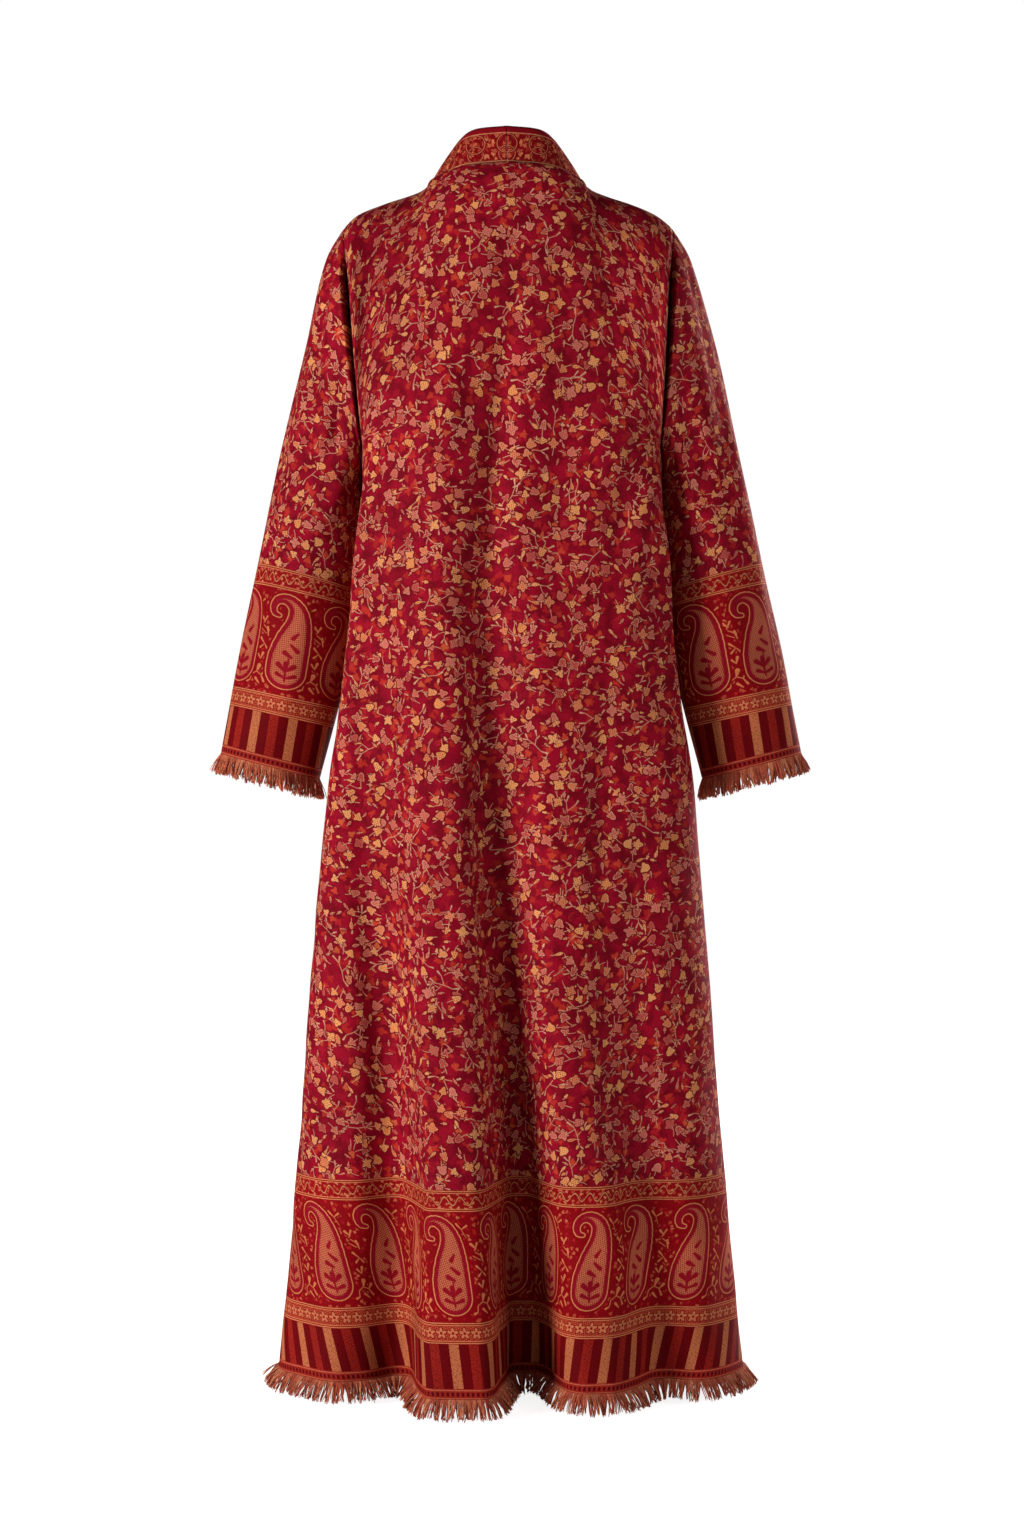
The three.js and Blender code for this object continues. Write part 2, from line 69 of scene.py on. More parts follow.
bodySections = [
    {"z": -1355, "halfWidth": 268, "back": 98, "front": 118, "pocket": 0, "pocketStart": 0.72},
    {"z": -1060, "halfWidth": 241, "back": 96, "front": 116, "pocket": 0, "pocketStart": 0.72},
    {"z": -760, "halfWidth": 218, "back": 93, "front": 113, "pocket": 0, "pocketStart": 0.72},
    {"z": -640, "halfWidth": 211, "back": 91, "front": 112, "pocket": 6, "pocketStart": 0.72},
    {"z": -520, "halfWidth": 201, "back": 90, "front": 112, "pocket": 17, "pocketStart": 0.72},
    {"z": -400, "halfWidth": 193, "back": 92, "front": 114, "pocket": 22, "pocketStart": 0.7},
    {"z": -290, "halfWidth": 186, "back": 98, "front": 118, "pocket": 14, "pocketStart": 0.46},
]
neckLoop = [
    {"turn": 0, "x": 0, "y": 64, "z": 26, "topX": 0, "topY": 53, "topZ": 70},
    {"turn": 0.2, "x": 50, "y": 55, "z": 23, "topX": 37, "topY": 44, "topZ": 68},
    {"turn": 0.36, "x": 80, "y": 29, "z": 15, "topX": 54, "topY": 22, "topZ": 62},
    {"turn": 0.47, "x": 90, "y": 0, "z": 9, "topX": 59, "topY": -2, "topZ": 54},
    {"turn": 0.62, "x": 82, "y": -37, "z": -16, "topX": 57, "topY": -33, "topZ": 36},
    {"turn": 0.8, "x": 51, "y": -77, "z": -53, "topX": 38, "topY": -67, "topZ": 2},
    {"turn": 1, "x": 2, "y": -102, "z": -92, "topX": 3, "topY": -93, "topZ": -50},
]
shoulderSeam = [
    {"out": 0, "x": 90, "z": 9},
    {"out": 0.1, "x": 99, "z": 3},
    {"out": 0.24, "x": 115, "z": -3},
    {"out": 0.5, "x": 142, "z": -12},
    {"out": 0.78, "x": 171, "z": -24},
    {"out": 1, "x": 190, "z": -39},
]
sleeveSections = [
    {"down": 0, "outX": 190, "outZ": -39, "inX": 172, "inZ": -290, "halfDepth": 76, "midY": -2},
    {"down": 0.08, "outX": 212, "outZ": -76, "inX": 176, "inZ": -297, "halfDepth": 71, "midY": -8},
    {"down": 0.2, "outX": 235, "outZ": -155, "inX": 177, "inZ": -312, "halfDepth": 65, "midY": -16},
    {"down": 0.36, "outX": 261, "outZ": -260, "inX": 177, "inZ": -348, "halfDepth": 60, "midY": -26},
    {"down": 0.55, "outX": 290, "outZ": -391, "inX": 181, "inZ": -428, "halfDepth": 56, "midY": -34},
    {"down": 0.78, "outX": 320, "outZ": -534, "inX": 200, "inZ": -560, "halfDepth": 51, "midY": -40},
    {"down": 1, "outX": 341, "outZ": -646, "inX": 225, "inZ": -676, "halfDepth": 47, "midY": -44},
]

# Hanging folds: where each starts, its middle there and at the hem, and its size at the hem.
hangingFolds = {
    "back": [
        {"startZ": -140, "startX": 88, "hemX": 57, "height": 70, "halfWidth": 48, "edge": 26},
        {"startZ": -200, "startX": 40, "hemX": -18, "height": -50, "halfWidth": 30, "edge": 36},
        {"startZ": -520, "startX": -52, "hemX": -97, "height": 50, "halfWidth": 42, "edge": 60},
        {"startZ": -240, "startX": 152, "hemX": 127, "height": -28, "halfWidth": 22, "edge": 40},
        {"startZ": -520, "startX": -125, "hemX": -170, "height": -6, "halfWidth": 28, "edge": 50},
        {"startZ": -420, "startX": 185, "hemX": 204, "height": 13, "halfWidth": 24, "edge": 40},
        {"startZ": -520, "startX": -178, "hemX": -219, "height": 10, "halfWidth": 24, "edge": 40},
    ],
    "front": [
        {"startZ": -230, "startX": 88, "hemX": 118, "height": 46, "halfWidth": 38, "edge": 44},
        {"startZ": -330, "startX": 40, "hemX": 56, "height": -26, "halfWidth": 26, "edge": 40},
        {"startZ": -420, "startX": 142, "hemX": 182, "height": -22, "halfWidth": 22, "edge": 40},
        {"startZ": -230, "startX": -82, "hemX": -96, "height": 52, "halfWidth": 40, "edge": 40},
        {"startZ": -300, "startX": -36, "hemX": -38, "height": -24, "halfWidth": 22, "edge": 40},
        {"startZ": -460, "startX": -140, "hemX": -164, "height": -28, "halfWidth": 24, "edge": 44},
        {"startZ": -520, "startX": -175, "hemX": -216, "height": 14, "halfWidth": 24, "edge": 40},
    ],
}

# Softer creases laid over those: where each starts and ends, its height and its half width. On the body a place is
# its x and z, and on a sleeve it is how far round from the outer line and how far up from the cuff.
creases = {
    "back": [
        ((62, -150), (46, -800), 7.5, 22),
        ((-4, -120), (6, -940), -14, 19),
        ((147, -230), (126, -1160), -5.5, 15),
        ((-44, -450), (-88, -1160), 4.4, 27),
        ((-112, -540), (-156, -1300), -6.0, 17),
        ((-172, -680), (-206, -1320), 4.5, 20),
        ((188, -620), (206, -1300), 4.2, 18),
        ((4, -520), (-22, -1010), 2.8, 15),
        ((-168, -236), (-118, -430), -4.2, 12),
        ((-178, -290), (-126, -540), 3.4, 13),
        ((170, -240), (124, -390), -3.6, 12),
        ((166, -330), (150, -560), 3.0, 12),
        ((-60, -150), (-84, -520), -3.0, 22),
        ((-20, -200), (-30, -560), 2.6, 20),
        ((106, -820), (92, -1300), -2.8, 11),
        ((60, -980), (46, -1330), 2.6, 14),
        ((-128, -900), (-136, -1330), 2.6, 12),
        ((150, -60), (118, -150), -2.2, 13),
        ((-146, -60), (-110, -170), -2.6, 14),
    ],
    "frontLeft": [
        ((62, -260), (74, -900), -4.0, 18),
        ((104, -300), (126, -960), 3.6, 17),
        ((170, -230), (112, -370), -3.8, 12),
        ((174, -300), (136, -480), 2.8, 12),
        ((24, -620), (30, -1240), 3.4, 15),
        ((192, -800), (226, -1300), -4.6, 17),
        ((172, -700), (196, -1120), 3.2, 15),
    ],
    "frontRight": [
        ((-50, -200), (-60, -820), -3.6, 17),
        ((-92, -340), (-112, -1010), 3.8, 19),
        ((-168, -220), (-120, -350), -4.0, 13),
        ((-172, -320), (-142, -520), 3.0, 12),
        ((-28, -700), (-20, -1280), 3.0, 14),
        ((-186, -760), (-236, -1320), -4.8, 18),
        ((-150, -620), (-182, -1200), 3.4, 15),
    ],
    "sleeveLeft": [
        ((-70, 580), (-40, 190), 5.0, 18),
        ((50, 590), (64, 250), -5.0, 16),
        ((8, 440), (30, 50), -4.0, 16),
        ((-128, 440), (-56, 330), -5.0, 11),
        ((-136, 390), (-62, 262), 4.2, 11),
        ((140, 430), (70, 330), -9, 13),
        ((132, 362), (72, 250), 5.0, 12),
        ((96, 240), (84, 15), 3.6, 14),
        ((-92, 220), (-88, 5), -3.8, 14),
    ],
    "sleeveRight": [
        ((-58, 600), (-66, 240), -4.6, 17),
        ((62, 570), (38, 200), 5.0, 18),
        ((-20, 470), (-24, 90), -3.8, 15),
        ((126, 450), (58, 350), -5.2, 12),
        ((132, 400), (60, 272), 4.4, 11),
        ((-136, 430), (-72, 312), -8.5, 13),
        ((-128, 350), (-76, 240), 4.8, 12),
        ((-94, 230), (-80, 12), 3.4, 14),
        ((90, 210), (94, 8), -3.6, 13),
    ],
}


def smoothStep(low, high, value):
    share = np.clip((value - low) / (high - low), 0, 1)
    return share * share * (3 - 2 * share)


def mix(a, b, share):
    return a + (b - a) * share


# A table's column on a smooth curve through its rows.
def columnAt(table, key, column, value):
    keys = np.array([row[key] for row in table], float)
    data = np.array([row[column] for row in table], float)
    before = np.maximum(np.arange(len(keys)) - 1, 0)
    after = np.minimum(np.arange(len(keys)) + 1, len(keys) - 1)
    slopes = (data[after] - data[before]) / (keys[after] - keys[before])
    wanted = np.clip(value, keys[0], keys[-1])
    low = np.clip(np.searchsorted(keys, wanted, side="right") - 1, 0, len(keys) - 2)
    span = keys[low + 1] - keys[low]
    share = (wanted - keys[low]) / span
    gain = data[low + 1] - data[low]
    rise, settle = slopes[low] * span, slopes[low + 1] * span
    return data[low] + share * (rise + share * (3 * gain - 2 * rise - settle + share * (rise + settle - 2 * gain)))


def leanAt(z):
    return neckLean * smoothStep(-90, -15, z)


# How the folds hang: how soft their edges are where they start, how they grow on the way down, how near the side
# seams they may come, and how far they draw the cloth up.
foldForm = {"startEdge": 80, "growth": 1.35, "sideShare": 0.86, "drawnUp": 0.03}


def hangingDepth(side, x, z):
    depth = np.zeros(np.broadcast(x, z).shape)
    for fold in hangingFolds[side]:
        grown = np.clip((fold["startZ"] - z) / (fold["startZ"] - hemZ), 0, 1)
        middle = mix(fold["startX"], fold["hemX"], grown)
        edge = mix(foldForm["startEdge"], fold["edge"], grown)
        away = np.abs(x - middle)
        ramp = 1 - smoothStep(fold["halfWidth"] - edge / 2, fold["halfWidth"] + edge / 2, away)
        depth += fold["height"] * grown ** foldForm["growth"] * ramp
    return depth


# A point of the skirt, by its share of the way from the middle to a side (t, from -1 to 1) and its height.
def skirtPoint(side, t, z):
    turn = np.abs(t) * math.pi / 2
    pocketStart = columnAt(bodySections, "z", "pocketStart", z) if side == "back" else 0.5
    pressed = columnAt(bodySections, "z", "pocket", z) * smoothStep(pocketStart, 1, np.abs(t))
    x = np.sign(t) * (columnAt(bodySections, "z", "halfWidth", z) * np.sin(turn) - pressed)
    roundness = columnAt(bodySections, "z", side, z) * np.maximum(np.cos(turn), 0) ** 0.7
    fold = hangingDepth(side, x, z) * smoothStep(1, foldForm["sideShare"], np.abs(t))
    return np.stack([x, facing[side] * (roundness + fold), z - foldForm["drawnUp"] * fold], axis=-1)


# The same way along the panel's top: half the neck edge, then the shoulder seam.
def topPoint(side, t):
    across, neckEnd = np.abs(t), neckShare[side]
    share = np.minimum(across / neckEnd, 1)
    turn = share * sideNeckTurn if side == "back" else 1 - share * (1 - sideNeckTurn)
    out = np.clip((across - neckEnd) / (1 - neckEnd), 0, 1)
    onNeck = across <= neckEnd
    x = np.where(onNeck, columnAt(neckLoop, "turn", "x", turn), columnAt(shoulderSeam, "out", "x", out))
    y = np.where(onNeck, columnAt(neckLoop, "turn", "y", turn), 0)
    z = np.where(onNeck, columnAt(neckLoop, "turn", "z", turn), columnAt(shoulderSeam, "out", "z", out))
    return np.stack([x * np.where(t < 0, -1, 1) + leanAt(z), y, z], axis=-1)


# Between the two, as rise goes from nothing to a quarter turn: the cloth closes in to the neck and the shoulders.
def yokePoint(side, t, rise):
    across = np.abs(t)
    ring, top = skirtPoint(side, t, np.full(t.shape, float(underarmZ))), topPoint(side, t)
    inward = math.cos(rise) ** 0.6 if rise < math.pi / 2 - 1e-9 else 0.0
    spread, lift = math.sin(rise) ** 2, math.sin(rise) ** (1 + across**4)
    bulge = armholeBulge[side] * max(math.sin(2 * rise), 0) ** 0.8 * across**3
    return np.stack([
        mix(ring[:, 0], top[:, 0], spread),
        ring[:, 1] * inward + top[:, 1] * (1 - inward) + facing[side] * bulge,
        ring[:, 2] + (top[:, 2] - ring[:, 2]) * lift,
    ], axis=-1)


def lengthAlong(points):
    return np.concatenate([[0], np.cumsum(np.linalg.norm(np.diff(points, axis=0), axis=1))])


def pointsAt(line, wanted):
    along = lengthAlong(line)
    return np.stack([np.interp(wanted * along[-1], along, line[:, k]) for k in range(3)], axis=-1)


# The body panels: rows and columns of their grids, how far from the edges the creases die out, and the soft waves.
panelCut = {
    "borderHeight": 227, "borderRows": 40, "skirtRows": 132, "yokeRows": 46, "neckColumns": 24,
    "shoulderColumns": 48, "calmSide": 22, "calmTop": 40, "waveHeight": 1.5, "waveSeed": {"back": 3, "front": 8},
}


# Half a body panel, from its middle edge to its side: points by row and column, rows from the hem up.
def halfPanel(side, hand):
    neckColumns, shoulderColumns = panelCut["neckColumns"], panelCut["shoulderColumns"]
    t = np.linspace(0.0 if side == "back" else 0.001, 1, 400)
    seamAlong = lengthAlong(topPoint(side, t))
    neckPart = np.interp(neckShare[side], t, seamAlong) / seamAlong[-1]
    columns = neckColumns + shoulderColumns
    even = np.arange(columns + 1) / columns
    drawn = np.concatenate([neckPart * np.arange(neckColumns) / neckColumns,
                            neckPart + (1 - neckPart) * np.arange(shoulderColumns + 1) / shoulderColumns])
    borderZ = hemZ + panelCut["borderHeight"]
    levels = list(np.linspace(hemZ, borderZ, panelCut["borderRows"] + 1))
    levels += list(np.linspace(borderZ, underarmZ, panelCut["skirtRows"] + 1))[1:]
    t = hand * np.linspace(0, 1, 300)
    rows = [pointsAt(skirtPoint(side, t, np.full(t.shape, float(z))), even) for z in levels]
    for i in range(1, panelCut["yokeRows"] + 1):
        share = i / panelCut["yokeRows"]
        rows.append(pointsAt(yokePoint(side, t, share * math.pi / 2), mix(even, drawn, share**1.5)))
    return np.array(rows)


def unit(vectors):
    return vectors / np.maximum(np.linalg.norm(vectors, axis=-1, keepdims=True), 1e-9)


# Outward unit vectors of a grid whose columns run to the right and rows upwards, seen from outside.
def gridNormals(points, wraps=False):
    if wraps:
        closed = np.concatenate([points[:, -2:-1], points, points[:, 1:2]], axis=1)
        along = closed[:, 2:] - closed[:, :-2]
    else:
        along = np.gradient(points, axis=1)
    return unit(np.cross(along, np.gradient(points, axis=0)))


# How far each point is along its row (axis 1) or its column (axis 0).
def runningLength(points, axis):
    steps = np.linalg.norm(np.diff(points, axis=axis), axis=2)
    start = np.zeros_like(np.take(steps, [0], axis=axis))
    return np.concatenate([start, np.cumsum(steps, axis=axis)], axis=axis)


# Real size of the cloth: how far each point is from the panel's middle and from its lower edge.
def cutSizes(points, middleColumn):
    across = runningLength(points, 1)
    across -= across[:, middleColumn:middleColumn + 1]
    up = runningLength(points, 0).mean(axis=1, keepdims=True)
    return np.stack([across, np.repeat(up, points.shape[1], axis=1)], axis=-1)


# Height of a table's creases. Each bends a little to one side, widens on its way and fades at both ends.
def creaseHeight(table, right, up):
    height = np.zeros(right.shape)
    for start, end, rise, halfWidth in table:
        line = np.array(end, float) - start
        share = ((right - start[0]) * line[0] + (up - start[1]) * line[1]) / (line @ line)
        bend = 0.035 * np.linalg.norm(line) * np.sin(math.pi * np.clip(share, 0, 1))
        away = ((right - start[0]) * line[1] - (up - start[1]) * line[0]) / np.linalg.norm(line) + bend
        ends = smoothStep(-0.1, 0.28, share) * smoothStep(1.1, 0.72, share)
        width = halfWidth * (0.75 + 0.5 * np.clip(share, 0, 1))
        height += rise * ends * np.exp(-((away / width) ** 2))
    return height


# Uneven softness of a hand-finished cloth: long low waves that never repeat evenly.
def softWaves(across, up, seed, size):
    rng = np.random.default_rng(seed)
    height = np.zeros(across.shape)
    for wave in range(7):
        length = rng.uniform(55, 150)
        lean = rng.uniform(-0.35, 0.35)
        acrossWave = np.sin((across + lean * up) * 2 * math.pi / length + rng.uniform(0, 6.28))
        height += acrossWave * np.sin(up * 2 * math.pi / rng.uniform(260, 620) + rng.uniform(0, 6.28))
    return size * height / 2.6


# A seam or finished edge dips and rolls in over its last few millimetres.
def seamRoll(points, edges, depth=0.9, reach=3.2):
    roll = np.zeros(points.shape[:2])
    fromLeft, fromFoot = runningLength(points, 1), runningLength(points, 0)
    away = {"left": fromLeft, "right": fromLeft[:, -1:] - fromLeft,
            "foot": fromFoot, "top": fromFoot[-1:] - fromFoot}
    for edge in edges:
        roll = np.maximum(roll, depth * np.exp(-((away[edge] / reach) ** 2)))
    return roll


# The cloth sinks along the armhole's seam, where the arm's weight pulls it in. It sinks towards the garment's middle
# plane, so that the seam's two edges stay together.
armholeGroove = {"backDepth": 27, "frontDepth": 15, "reach": 7, "fullFrom": 55}


def sunkArmhole(points, edges):
    y, z = points[..., 1], points[..., 2]
    deepest = np.where(y > 0, armholeGroove["backDepth"], armholeGroove["frontDepth"])
    deepest = deepest * np.clip(y / armholeGroove["fullFrom"], -1, 1)
    shown = smoothStep(-50, -125, z) * smoothStep(underarmZ - 30, underarmZ + 15, z)
    sunk = points.copy()
    sunk[..., 1] -= deepest * shown * seamRoll(points, edges, 1, armholeGroove["reach"])
    return sunk


# A cloth panel: a grid laid on its points, with its real cut sizes as a UV map in metres.
def clothPiece(name, points, cut, borderRow=0, wraps=False):
    rows, columns = points.shape[0] - 1, points.shape[1] - 1
    bm = bmesh.new()
    bmesh.ops.create_grid(bm, x_segments=columns, y_segments=rows, size=1)
    cutMap = bm.loops.layers.uv.new("cutMap")
    place = {}
    for vert in bm.verts:
        i, j = round((vert.co.y + 1) / 2 * rows), round((vert.co.x + 1) / 2 * columns)
        place[vert] = (i, j)
        vert.co = points[i, j] * mm
    for face in bm.faces:
        face.smooth = True
        for loop in face.loops:
            loop[cutMap].uv = cut[place[loop.vert]] * mm
        if min(place[vert][0] for vert in face.verts) < borderRow:
            face.material_index = 1
    if wraps:
        bmesh.ops.remove_doubles(bm, verts=[v for v in bm.verts if place[v][1] in (0, columns)], dist=1e-6)
    mesh = bpy.data.meshes.new(name)
    bm.to_mesh(mesh)
    bm.free()
    piece = bpy.data.objects.new(name, mesh)
    bpy.context.scene.collection.objects.link(piece)
    wall = piece.modifiers.new("clothThickness", "SOLIDIFY")
    wall.thickness = clothThickness * mm
    wall.offset = -1
    wall.use_even_offset = True
    return piece


print("stage: cloth panels")

borderTop = {}
hemLines = {}


def bodyPoints(side, hand):
    if side == "back":
        return np.concatenate([halfPanel(side, 1)[:, ::-1], halfPanel(side, -1)[:, 1:]], axis=1)
    return halfPanel(side, hand) if hand > 0 else halfPanel(side, hand)[:, ::-1]


# Lays creases, waves and rolled edges over a body panel's own form, and keeps its edges on their seams.
def finishBody(name, side, hand, points):
    last = points.shape[1] - 1
    middle = last // 2 if side == "back" else (0 if hand > 0 else last)
    armEdges = ["left", "right"] if side == "back" else ["right" if hand > 0 else "left"]
    cut = cutSizes(points, middle)
    across, up = cut[..., 0], cut[..., 1]
    normals = gridNormals(points)
    height = creaseHeight(creases[name.replace("Cloth", "")], points[..., 0], points[..., 2])
    height += softWaves(across, up, panelCut["waveSeed"][side] + hand, panelCut["waveHeight"])
    fromEdge = np.minimum(across - across[:, :1], across[:, -1:] - across)
    calm = smoothStep(0, panelCut["calmSide"], fromEdge) * smoothStep(0, panelCut["calmTop"], up[-1, 0] - up)
    roll = seamRoll(points, ["left", "right", "top"])
    moved = sunkArmhole(points, armEdges) + normals * (height * calm - roll)[..., None]
    moved[..., 1] = facing[side] * np.maximum(facing[side] * moved[..., 1], seamGap / 2)
    if side == "front":
        moved[:, 0 if hand > 0 else -1, 0] = hand * frontEdgeX
    sideRows = panelCut["borderRows"] + panelCut["skirtRows"] + 1
    for edge in armEdges:
        moved[:sideRows, {"left": 0, "right": -1}[edge], 1] = facing[side] * seamGap / 2
    borderTop[name] = up[panelCut["borderRows"], 0]
    hemLines[name] = (moved[0], normals[0], across[0])
    return clothPiece(name, moved, cut, panelCut["borderRows"])


backPoints = bodyPoints("back", 0)
pieces = {"back": finishBody("backCloth", "back", 0, backPoints)}
frontPoints = {}
for hand, word in ((1, "Left"), (-1, "Right")):
    frontPoints[hand] = bodyPoints("front", hand)
    pieces[f"front_{word.lower()}"] = finishBody(f"front{word}Cloth", "front", hand, frontPoints[hand])

print("stage: sleeves and collar")

sleeveCut = {
    "rows": 132, "columnsHalf": 50, "armholeReach": 0.3, "calmSeam": 30, "calmTop": 36, "waveHeight": 1.1,
    "waveSeed": 20, "borderHeight": 227, "patternShift": {1: 12, -1: 5},
}
# How far the sleeve's inner line leans towards the side of the body, which the arm hangs against.
sleeveLean = [
    {"z": -676, "lean": 0}, {"z": -600, "lean": 3.4}, {"z": -540, "lean": 5.9}, {"z": -480, "lean": 3.4},
    {"z": -440, "lean": 1.8}, {"z": -370, "lean": 3.5}, {"z": -335, "lean": 3.6}, {"z": -310, "lean": 4.4},
    {"z": -297, "lean": 3.2}, {"z": -290, "lean": 0},
]


# The armhole's edge as a loop of even points from the underarm, up the back and down the front.
def armholeLoop(hand):
    yokeStart = panelCut["borderRows"] + panelCut["skirtRows"]
    backEdge = backPoints[yokeStart:, 0 if hand > 0 else -1]
    frontEdge = frontPoints[hand][yokeStart:, -1 if hand > 0 else 0]
    shares = np.linspace(0, 1, sleeveCut["columnsHalf"] + 1)
    up, down = pointsAt(backEdge, shares), pointsAt(frontEdge, shares)[::-1]
    return np.concatenate([up, down[1:]])


# Rings of points from the cuff up, which pass into the armhole's own edge near the top.
def sleevePoints(hand):
    loop = armholeLoop(hand)
    turn = math.pi - 2 * math.pi * np.arange(len(loop)) / (len(loop) - 1)

    def ringAt(down):
        outX, outZ, inX, inZ, halfDepth, midY = [
            columnAt(sleeveSections, "down", column, down)
            for column in ("outX", "outZ", "inX", "inZ", "halfDepth", "midY")
        ]
        outer, inner = np.array([hand * outX, midY, outZ]), np.array([hand * inX, midY, inZ])
        inner[0] -= hand * columnAt(sleeveLean, "z", "lean", inZ) * smoothStep(0, 0.03, down)
        middle = (outer + inner) / 2
        ring = middle + (outer - middle) * np.cos(turn)[:, None]
        ring[:, 1] += halfDepth * np.sin(turn)
        return ring

    start = ringAt(0.0)
    rows = []
    for down in np.linspace(1, 0, sleeveCut["rows"] + 1):
        left = 1 - smoothStep(0, sleeveCut["armholeReach"], down)
        rows.append(ringAt(down) + (loop - start) * left)
    rows = np.array(rows)
    rows[-1, :, 0] += hand * seamGap
    return rows[:, ::-1] if hand > 0 else rows


def sleevePiece(name, creaseTable, hand):
    points = sleevePoints(hand)
    middle = (points.shape[1] - 1) // 2
    cut = cutSizes(points, middle)
    across, up = cut[..., 0], cut[..., 1]
    normals = gridNormals(points, wraps=True)
    height = creaseHeight(creaseTable, across, up)
    height += softWaves(across, up, sleeveCut["waveSeed"] + hand, sleeveCut["waveHeight"])
    fromSeam = (across[:, -1:] - across[:, :1]) / 2 - np.abs(across)
    calm = smoothStep(0, sleeveCut["calmSeam"], fromSeam) * smoothStep(0, sleeveCut["calmTop"], up[-1, 0] - up)
    roll = seamRoll(points, ["top"])
    moved = sunkArmhole(points, ["top"]) + normals * (height * calm - roll)[..., None]
    moved[:, -1] = moved[:, 0]
    borderRow = int(np.argmin(np.abs(up[:, 0] - sleeveCut["borderHeight"])))
    borderTop[name] = up[borderRow, 0]
    hemLines[name] = (moved[0], normals[0], across[0])
    # above the cuff's border the pattern runs straight along the sleeve, whatever way the rings of points lean
    upper = points[borderRow:]
    axis = unit(upper[0].mean(axis=0) - upper[-1].mean(axis=0))
    around = runningLength(upper - (upper @ axis)[..., None] * axis, 1)
    cut[borderRow:, :, 0] = around - around[:, middle:middle + 1]
    cut[borderRow:, :, 1] = cut[borderRow, :, 1] + (upper[0] - upper) @ axis
    cut[..., 0] -= sleeveCut["patternShift"][hand]
    return clothPiece(name, moved, cut, borderRow, wraps=True)


# A standing band of doubled cloth. Its foot is sewn inside the neck edge, and it swells between its seams.
collarCut = {
    "rows": 16, "backColumns": 34, "frontColumns": 44, "height": 45, "tuck": 2.2, "tuckDepth": 2.4,
    "tuckReach": 3.6, "topRoll": 0.7, "topReach": 2.4, "swell": 1.6, "centreGap": 0.28,
}


def collarPiece(name, hand):
    turn = np.concatenate([np.linspace(0, sideNeckTurn, collarCut["backColumns"] + 1),
                           np.linspace(sideNeckTurn, 1, collarCut["frontColumns"] + 1)[1:]])
    lines = []
    for columns in (("x", "y", "z"), ("topX", "topY", "topZ")):
        x, y, z = [columnAt(neckLoop, "turn", column, turn) for column in columns]
        lines.append(np.stack([hand * x + leanAt(z), y, z], axis=-1))
    foot, top = lines
    foot -= unit(top - foot) * collarCut["tuck"]
    shares = np.linspace(0, 1, collarCut["rows"] + 1)[:, None, None]
    points = foot[None] + (top - foot)[None] * shares
    for column, gap in ((0, collarCut["centreGap"]), (-1, frontEdgeX)):
        points[:, column, 0] = leanAt(points[:, column, 2]) + hand * gap
    points = points[:, ::-1] if hand > 0 else points
    centre = points.shape[1] - 1 if hand > 0 else 0
    cut = cutSizes(points, centre)
    cut[..., 1] = shares[..., 0] * collarCut["height"] # bands are measured across the collar
    swell = collarCut["swell"] * np.sin(math.pi * shares[..., 0])
    roll = np.maximum(seamRoll(points, ["top"], collarCut["topRoll"], collarCut["topReach"]),
                      seamRoll(points, ["foot"], collarCut["tuckDepth"], collarCut["tuckReach"]))
    moved = points + gridNormals(points) * (swell - roll)[..., None]
    moved[:, centre, 0] = points[:, centre, 0]
    return clothPiece(name, moved, cut)


for hand, word in ((1, "Left"), (-1, "Right")):
    pieces[f"sleeve_{word.lower()}"] = sleevePiece(f"sleeve{word}Cloth", creases[f"sleeve{word}"], hand)
for hand, word in ((1, "Left"), (-1, "Right")):
    pieces[f"collar_{word.lower()}"] = collarPiece(f"collar{word}Cloth", hand)

print("stage: fringe")

fringeYarn = {
    "spacing": 1.0, "jitter": 0.35, "length": 24.5, "rootRadius": 0.76, "tipRadius": 0.5, "rings": 6, "twist": 0.7,
    "rootInside": 0.7, "rootAbove": 0.6, "hang": 0.6, "floorGap": 0.9, "gather": 0.62, "lockWidth": 4.6,
    "lockLean": 0.3, "lockSplay": 6, "lockLength": (0.9, 1.06), "lengthSpread": (0.93, 1.04),
}
floorZ = startBox[0][2] / mm - 0.3


# One yarn: a thin three-sided tube, drawn out ring by ring.
def yarnShape():
    bm = bmesh.new()
    bmesh.ops.create_circle(bm, cap_ends=True, segments=3, radius=1)
    bmesh.ops.reverse_faces(bm, faces=bm.faces[:])
    face = bm.faces[:][0]
    for ring in range(1, fringeYarn["rings"]):
        made = bmesh.ops.extrude_face_region(bm, geom=[face])
        newFace = [part for part in made["geom"] if isinstance(part, bmesh.types.BMFace)][0]
        if ring > 1:
            bmesh.ops.delete(bm, geom=[face], context="FACES_ONLY")
        bmesh.ops.translate(bm, vec=(0, 0, 1), verts=newFace.verts[:])
        face = newFace
    bmesh.ops.recalc_face_normals(bm, faces=bm.faces[:])
    mesh = bpy.data.meshes.new("yarnShape")
    bm.to_mesh(mesh)
    bm.free()
    return mesh


